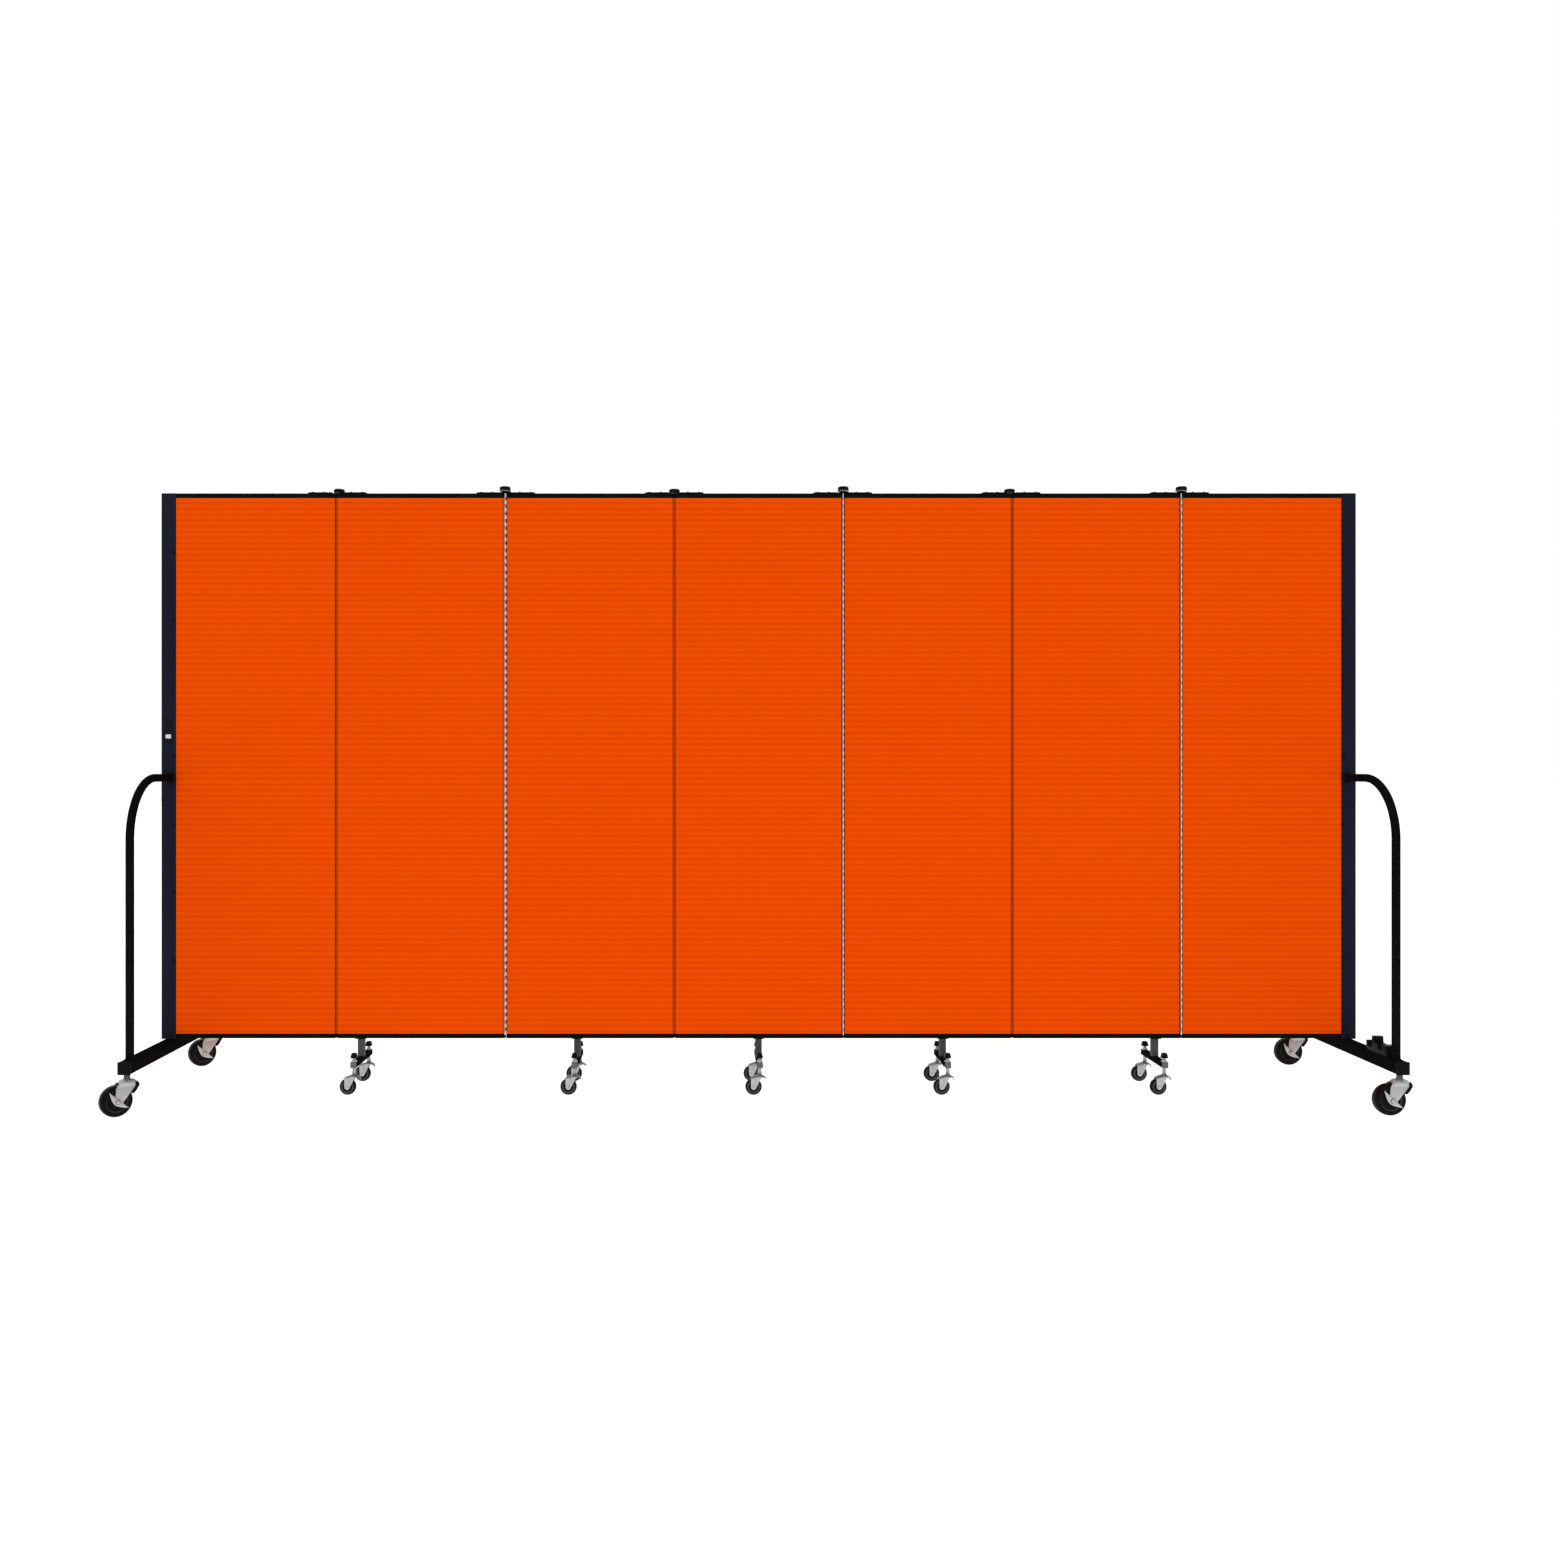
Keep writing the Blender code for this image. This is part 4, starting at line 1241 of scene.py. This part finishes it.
def small_fork():
    """Two legs with a pressed rib and the riveted axle."""
    trail, axle, top = caster_sizes("foot_4_front")
    work = bmesh.new()
    rear, front = (-trail - 0.0086, top - 0.0172), (0.0030, top - 0.0170)
    over = [
        (0.0110, top - 0.0128), (0.0040, top - 0.0104), (-0.0050, top - 0.0104),
        (-0.0160, top - 0.0130), (rear[0], top - 0.0166),
    ]
    for side in (-1, 1):
        outline = over[:1] + leg_outline((-trail, axle), 0.0084, front, rear) + over[:0:-1]
        near = at((0, side * 0.0130 + (0.0016 if side < 0 else 0.0), 0))
        add_prism(work, outline, 0.0016, near @ FORWARD, edge=0.0003)
        rib = rounded(0.0038, 0.0230, 0.0018, 4, (-0.0140, axle + 0.0155))
        proud = at((0, side * 0.0148 + (0.0020 if side < 0 else 0.0), 0))
        add_prism(work, rib, 0.0020, proud @ FORWARD, edge=0.0009)
        rivet = at((-trail, side * 0.0144, axle)) @ OUT_OF_FACE[side]
        ring = [(0, 0.0010), (0.0018, 0.0010), (0.0024, 0.0016), (0.0034, 0.0012), (0.0038, 0)]
        add_turned(work, ring, rivet, sides=20)
    return mesh_from(work, "small_fork", finish_named(zinc), sharp=30)


def small_wheel():
    """A wheel with a hub, a dished side and a raised ring."""
    radius = caster_sizes("foot_4_front")[1]
    outline = [
        (0.0034, 0.0100), (0.0068, 0.0100), (0.0074, 0.0088), (radius - 0.0116, 0.0082),
        (radius - 0.0104, 0.0094), (radius - 0.0090, 0.0100), (radius - 0.0056, 0.0100),
        (radius - 0.0044, 0.0090), (radius - 0.0018, 0.0076), (radius - 0.0004, 0.0048),
        (radius, 0.0020),
    ]
    wheel = mesh_from(wheel_mesh(outline), "small_wheel", finish_named(tyre), sharp=30)
    return ringed(wheel, inner=0.56, outer=0.80)


def caster_place(name):
    """Where a caster stands and which way it trails: its own space has the stem on local Z."""
    stem, axle = joint_place(name + "_swivel"), joint_place(name + "_roll")
    turn = math.atan2(stem.y - axle.y, stem.x - axle.x)
    stand = at((stem.x, stem.y, 0)) @ Matrix.Rotation(turn, 4, "Z")
    spin = at(axle) @ Matrix.Rotation(turn, 4, "Z")
    return stand, spin


def put_caster(name, pieces):
    """Stand a caster's pieces on its bodies: what swivels at the stem, the rest at the axle."""
    stand, spin = caster_place(name)
    for ending, mesh, body, node in pieces:
        place = stand if body == "_swivel" else spin
        piece = put(name + ending, mesh, name + body, place)
        if node:
            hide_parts(name + node)


# ---- Operators ----
class ScreenStep(Operator):
    bl_options = {"REGISTER", "UNDO"}


class SCREEN_OT_covers(ScreenStep):
    """Put a ribbed cover on both faces of every panel"""

    bl_idname = "screen.covers"
    bl_label = "Covers"

    def execute(self, context):
        for panel in BOARDS:
            build_cover(panel, "panel_%d_front_cover" % panel, -1)
            build_cover(panel, "panel_%d_rear_cover" % panel, 1)
            repaint("panel_%d_board" % panel, core_board)
        return {"FINISHED"}


class SCREEN_OT_frames(ScreenStep):
    """Build every panel's rails and the feet under the middle five"""

    bl_idname = "screen.frames"
    bl_label = "Panel frames and feet"

    def execute(self, context):
        for panel in BOARDS:
            build_rails(panel)
        for panel in FOOT_PANELS:
            build_foot(panel)
        return {"FINISHED"}


class SCREEN_OT_hinges(ScreenStep):
    """Build the leaves, arms, pins and caps of the six hinges"""

    bl_idname = "screen.hinges"
    bl_label = "Hinges"

    def execute(self, context):
        for seam in SEAMS:
            for side in (-1, 1):
                build_leaf(seam, side)
                build_arm(seam, side)
            build_cap(seam)
        return {"FINISHED"}


class SCREEN_OT_ends(ScreenStep):
    """Build the two end stands, the clip and the label"""

    bl_idname = "screen.ends"
    bl_label = "End stands"

    def execute(self, context):
        for end, side in SIDES:
            build_post(end, side)
            build_bar(end, side)
            build_brace(end, side)
        build_clip()
        build_label()
        return {"FINISHED"}


class SCREEN_OT_casters(ScreenStep):
    """Build the four braked casters and the ten small ones"""

    bl_idname = "screen.casters"
    bl_label = "Casters"

    def execute(self, context):
        large = (
            ("_fork_shell", large_fork(), "_swivel", "_fork"),
            ("_axle", large_axle(), "_swivel", None),
            ("_washers", large_washers(), "_swivel", None),
            # The black block is painted shade inside the fork.
            ("_guard", large_guard(), "_swivel", None),
            ("_tyre", large_wheel(), "_wheel", "_wheel"),
            ("_lever", brake_lever(), "_brake", "_brake"),
        )
        small = (
            ("_fork_legs", small_fork(), "_swivel", "_fork"),
            ("_hood", small_hood(), "_swivel", None),
            ("_tyre", small_wheel(), "_wheel", "_wheel"),
        )
        stands = [("end_%s" % end, large) for end, side in SIDES]
        stands += [("foot_%d" % panel, small) for panel in FOOT_PANELS]
        for stand, pieces in stands:
            for place in ("front", "rear"):
                put_caster("%s_%s" % (stand, place), pieces)
        return {"FINISHED"}


class SCREEN_OT_stage(ScreenStep):
    """Lay the floor and set the lights and the camera"""

    bl_idname = "screen.stage"
    bl_label = "Floor, lights and camera"

    def execute(self, context):
        look = settings("stage")
        scene = context.scene
        scene.view_settings.view_transform = "Standard"
        build_floor(look)
        build_world(scene)
        sun("key", (0.55, 1.0, -0.75), angle=50, power=0.95)
        sun("fill", (-0.8, 1.0, -0.35), angle=60, power=0.35)
        sun("rear", (0.2, -1.0, -0.6), angle=60, power=0.35)
        data = bpy.data.cameras.new("camera")
        data.lens = look.lens
        data.sensor_width = 36
        data.shift_x, data.shift_y = look.shift
        camera = bpy.data.objects.new("camera", data)
        scene.collection.objects.link(camera)
        camera.location = (look.aside, -look.distance, look.height)
        camera.rotation_euler = (math.pi / 2, 0, 0)
        scene.camera = camera
        return {"FINISHED"}


def build_floor(look):
    """A wide pale floor that is lit mostly by its own glow, so that it casts little colour."""
    mesh = bpy.data.meshes.new("floor")
    work = bmesh.new()
    bmesh.ops.create_grid(work, x_segments=4, y_segments=4, size=40)
    work.to_mesh(mesh)
    work.free()
    shader = Shader(
        "pale floor",
        roughness=0.9,
        specular_ior_level=0.0,
        emission_color=(1, 1, 1, 1),
        emission_strength=0.92,
    )
    tone = shader.noise(shader.place(), 0.4, detail=2.0)
    white = tuple(look.white)
    soft = tuple(channel * 0.985 for channel in white[:3]) + (1,)
    shader.set(base_color=shader.blend(tone, white, soft))
    mesh.materials.append(shader.material)
    floor = bpy.data.objects.new("floor", mesh)
    bpy.context.scene.collection.objects.link(floor)


def build_world(scene):
    """A white room that is dimmer towards the front, so that metal and black paint have depth."""
    world = bpy.data.worlds.new("studio")
    scene.world = world
    world.use_nodes = True
    room = Nodes(world.node_tree)
    x, y, z = room.axes(room.node("TexCoord", output="Generated"))
    behind = room.ramp(y, -0.25, 0.10)
    above = room.ramp(z, 0.55, 0.95)
    light = room.maths("MAXIMUM", behind, above * 0.8)
    background = world.node_tree.nodes["Background"]
    dim = settings("stage").dim
    room.feed(background.inputs["Color"], room.blend(light, tuple(dim), (1, 1, 1, 1)))
    background.inputs["Strength"].default_value = 1.0


def sun(name, towards, angle, power):
    """A wide, soft sun that shines along a direction."""
    data = bpy.data.lights.new(name, "SUN")
    data.angle = math.radians(angle)
    data.energy = power
    light = bpy.data.objects.new(name, data)
    bpy.context.scene.collection.objects.link(light)
    light.rotation_euler = Vector(towards).to_track_quat("-Z", "Y").to_euler()


OPERATORS = (
    SCREEN_OT_covers,
    SCREEN_OT_frames,
    SCREEN_OT_hinges,
    SCREEN_OT_ends,
    SCREEN_OT_casters,
    SCREEN_OT_stage,
)
GROUPS = {
    "covers": CoverSettings,
    "frames": FrameSettings,
    "hinges": HingeSettings,
    "casters": CasterSettings,
    "stage": StageSettings,
}


class SCREEN_PT_panel(Panel):
    """The screen's sizes, colours and steps"""

    bl_label = "Welding screen"
    bl_idname = "SCREEN_PT_panel"
    bl_space_type = "VIEW_3D"
    bl_region_type = "UI"
    bl_category = "Screen"

    def draw(self, context):
        for name, group in GROUPS.items():
            box = self.layout.box()
            box.label(text=name.title())
            for key in group.__annotations__:
                box.prop(settings(name), key)
        for operator in OPERATORS:
            self.layout.operator(operator.bl_idname)


def register():
    for cls in (*GROUPS.values(), *OPERATORS, SCREEN_PT_panel):
        bpy.utils.register_class(cls)
    for name, group in GROUPS.items():
        setattr(bpy.types.Scene, "screen_" + name, PointerProperty(type=group))


def unregister():
    for name in GROUPS:
        delattr(bpy.types.Scene, "screen_" + name)
    for cls in (SCREEN_PT_panel, *reversed(OPERATORS), *reversed(list(GROUPS.values()))):
        bpy.utils.unregister_class(cls)


def main():
    register()
    bpy.ops.screen.stage()
    bpy.ops.screen.covers()
    bpy.ops.screen.frames()
    bpy.ops.screen.hinges()
    bpy.ops.screen.ends()
    bpy.ops.screen.casters()


if __name__ == "__main__":
    main()
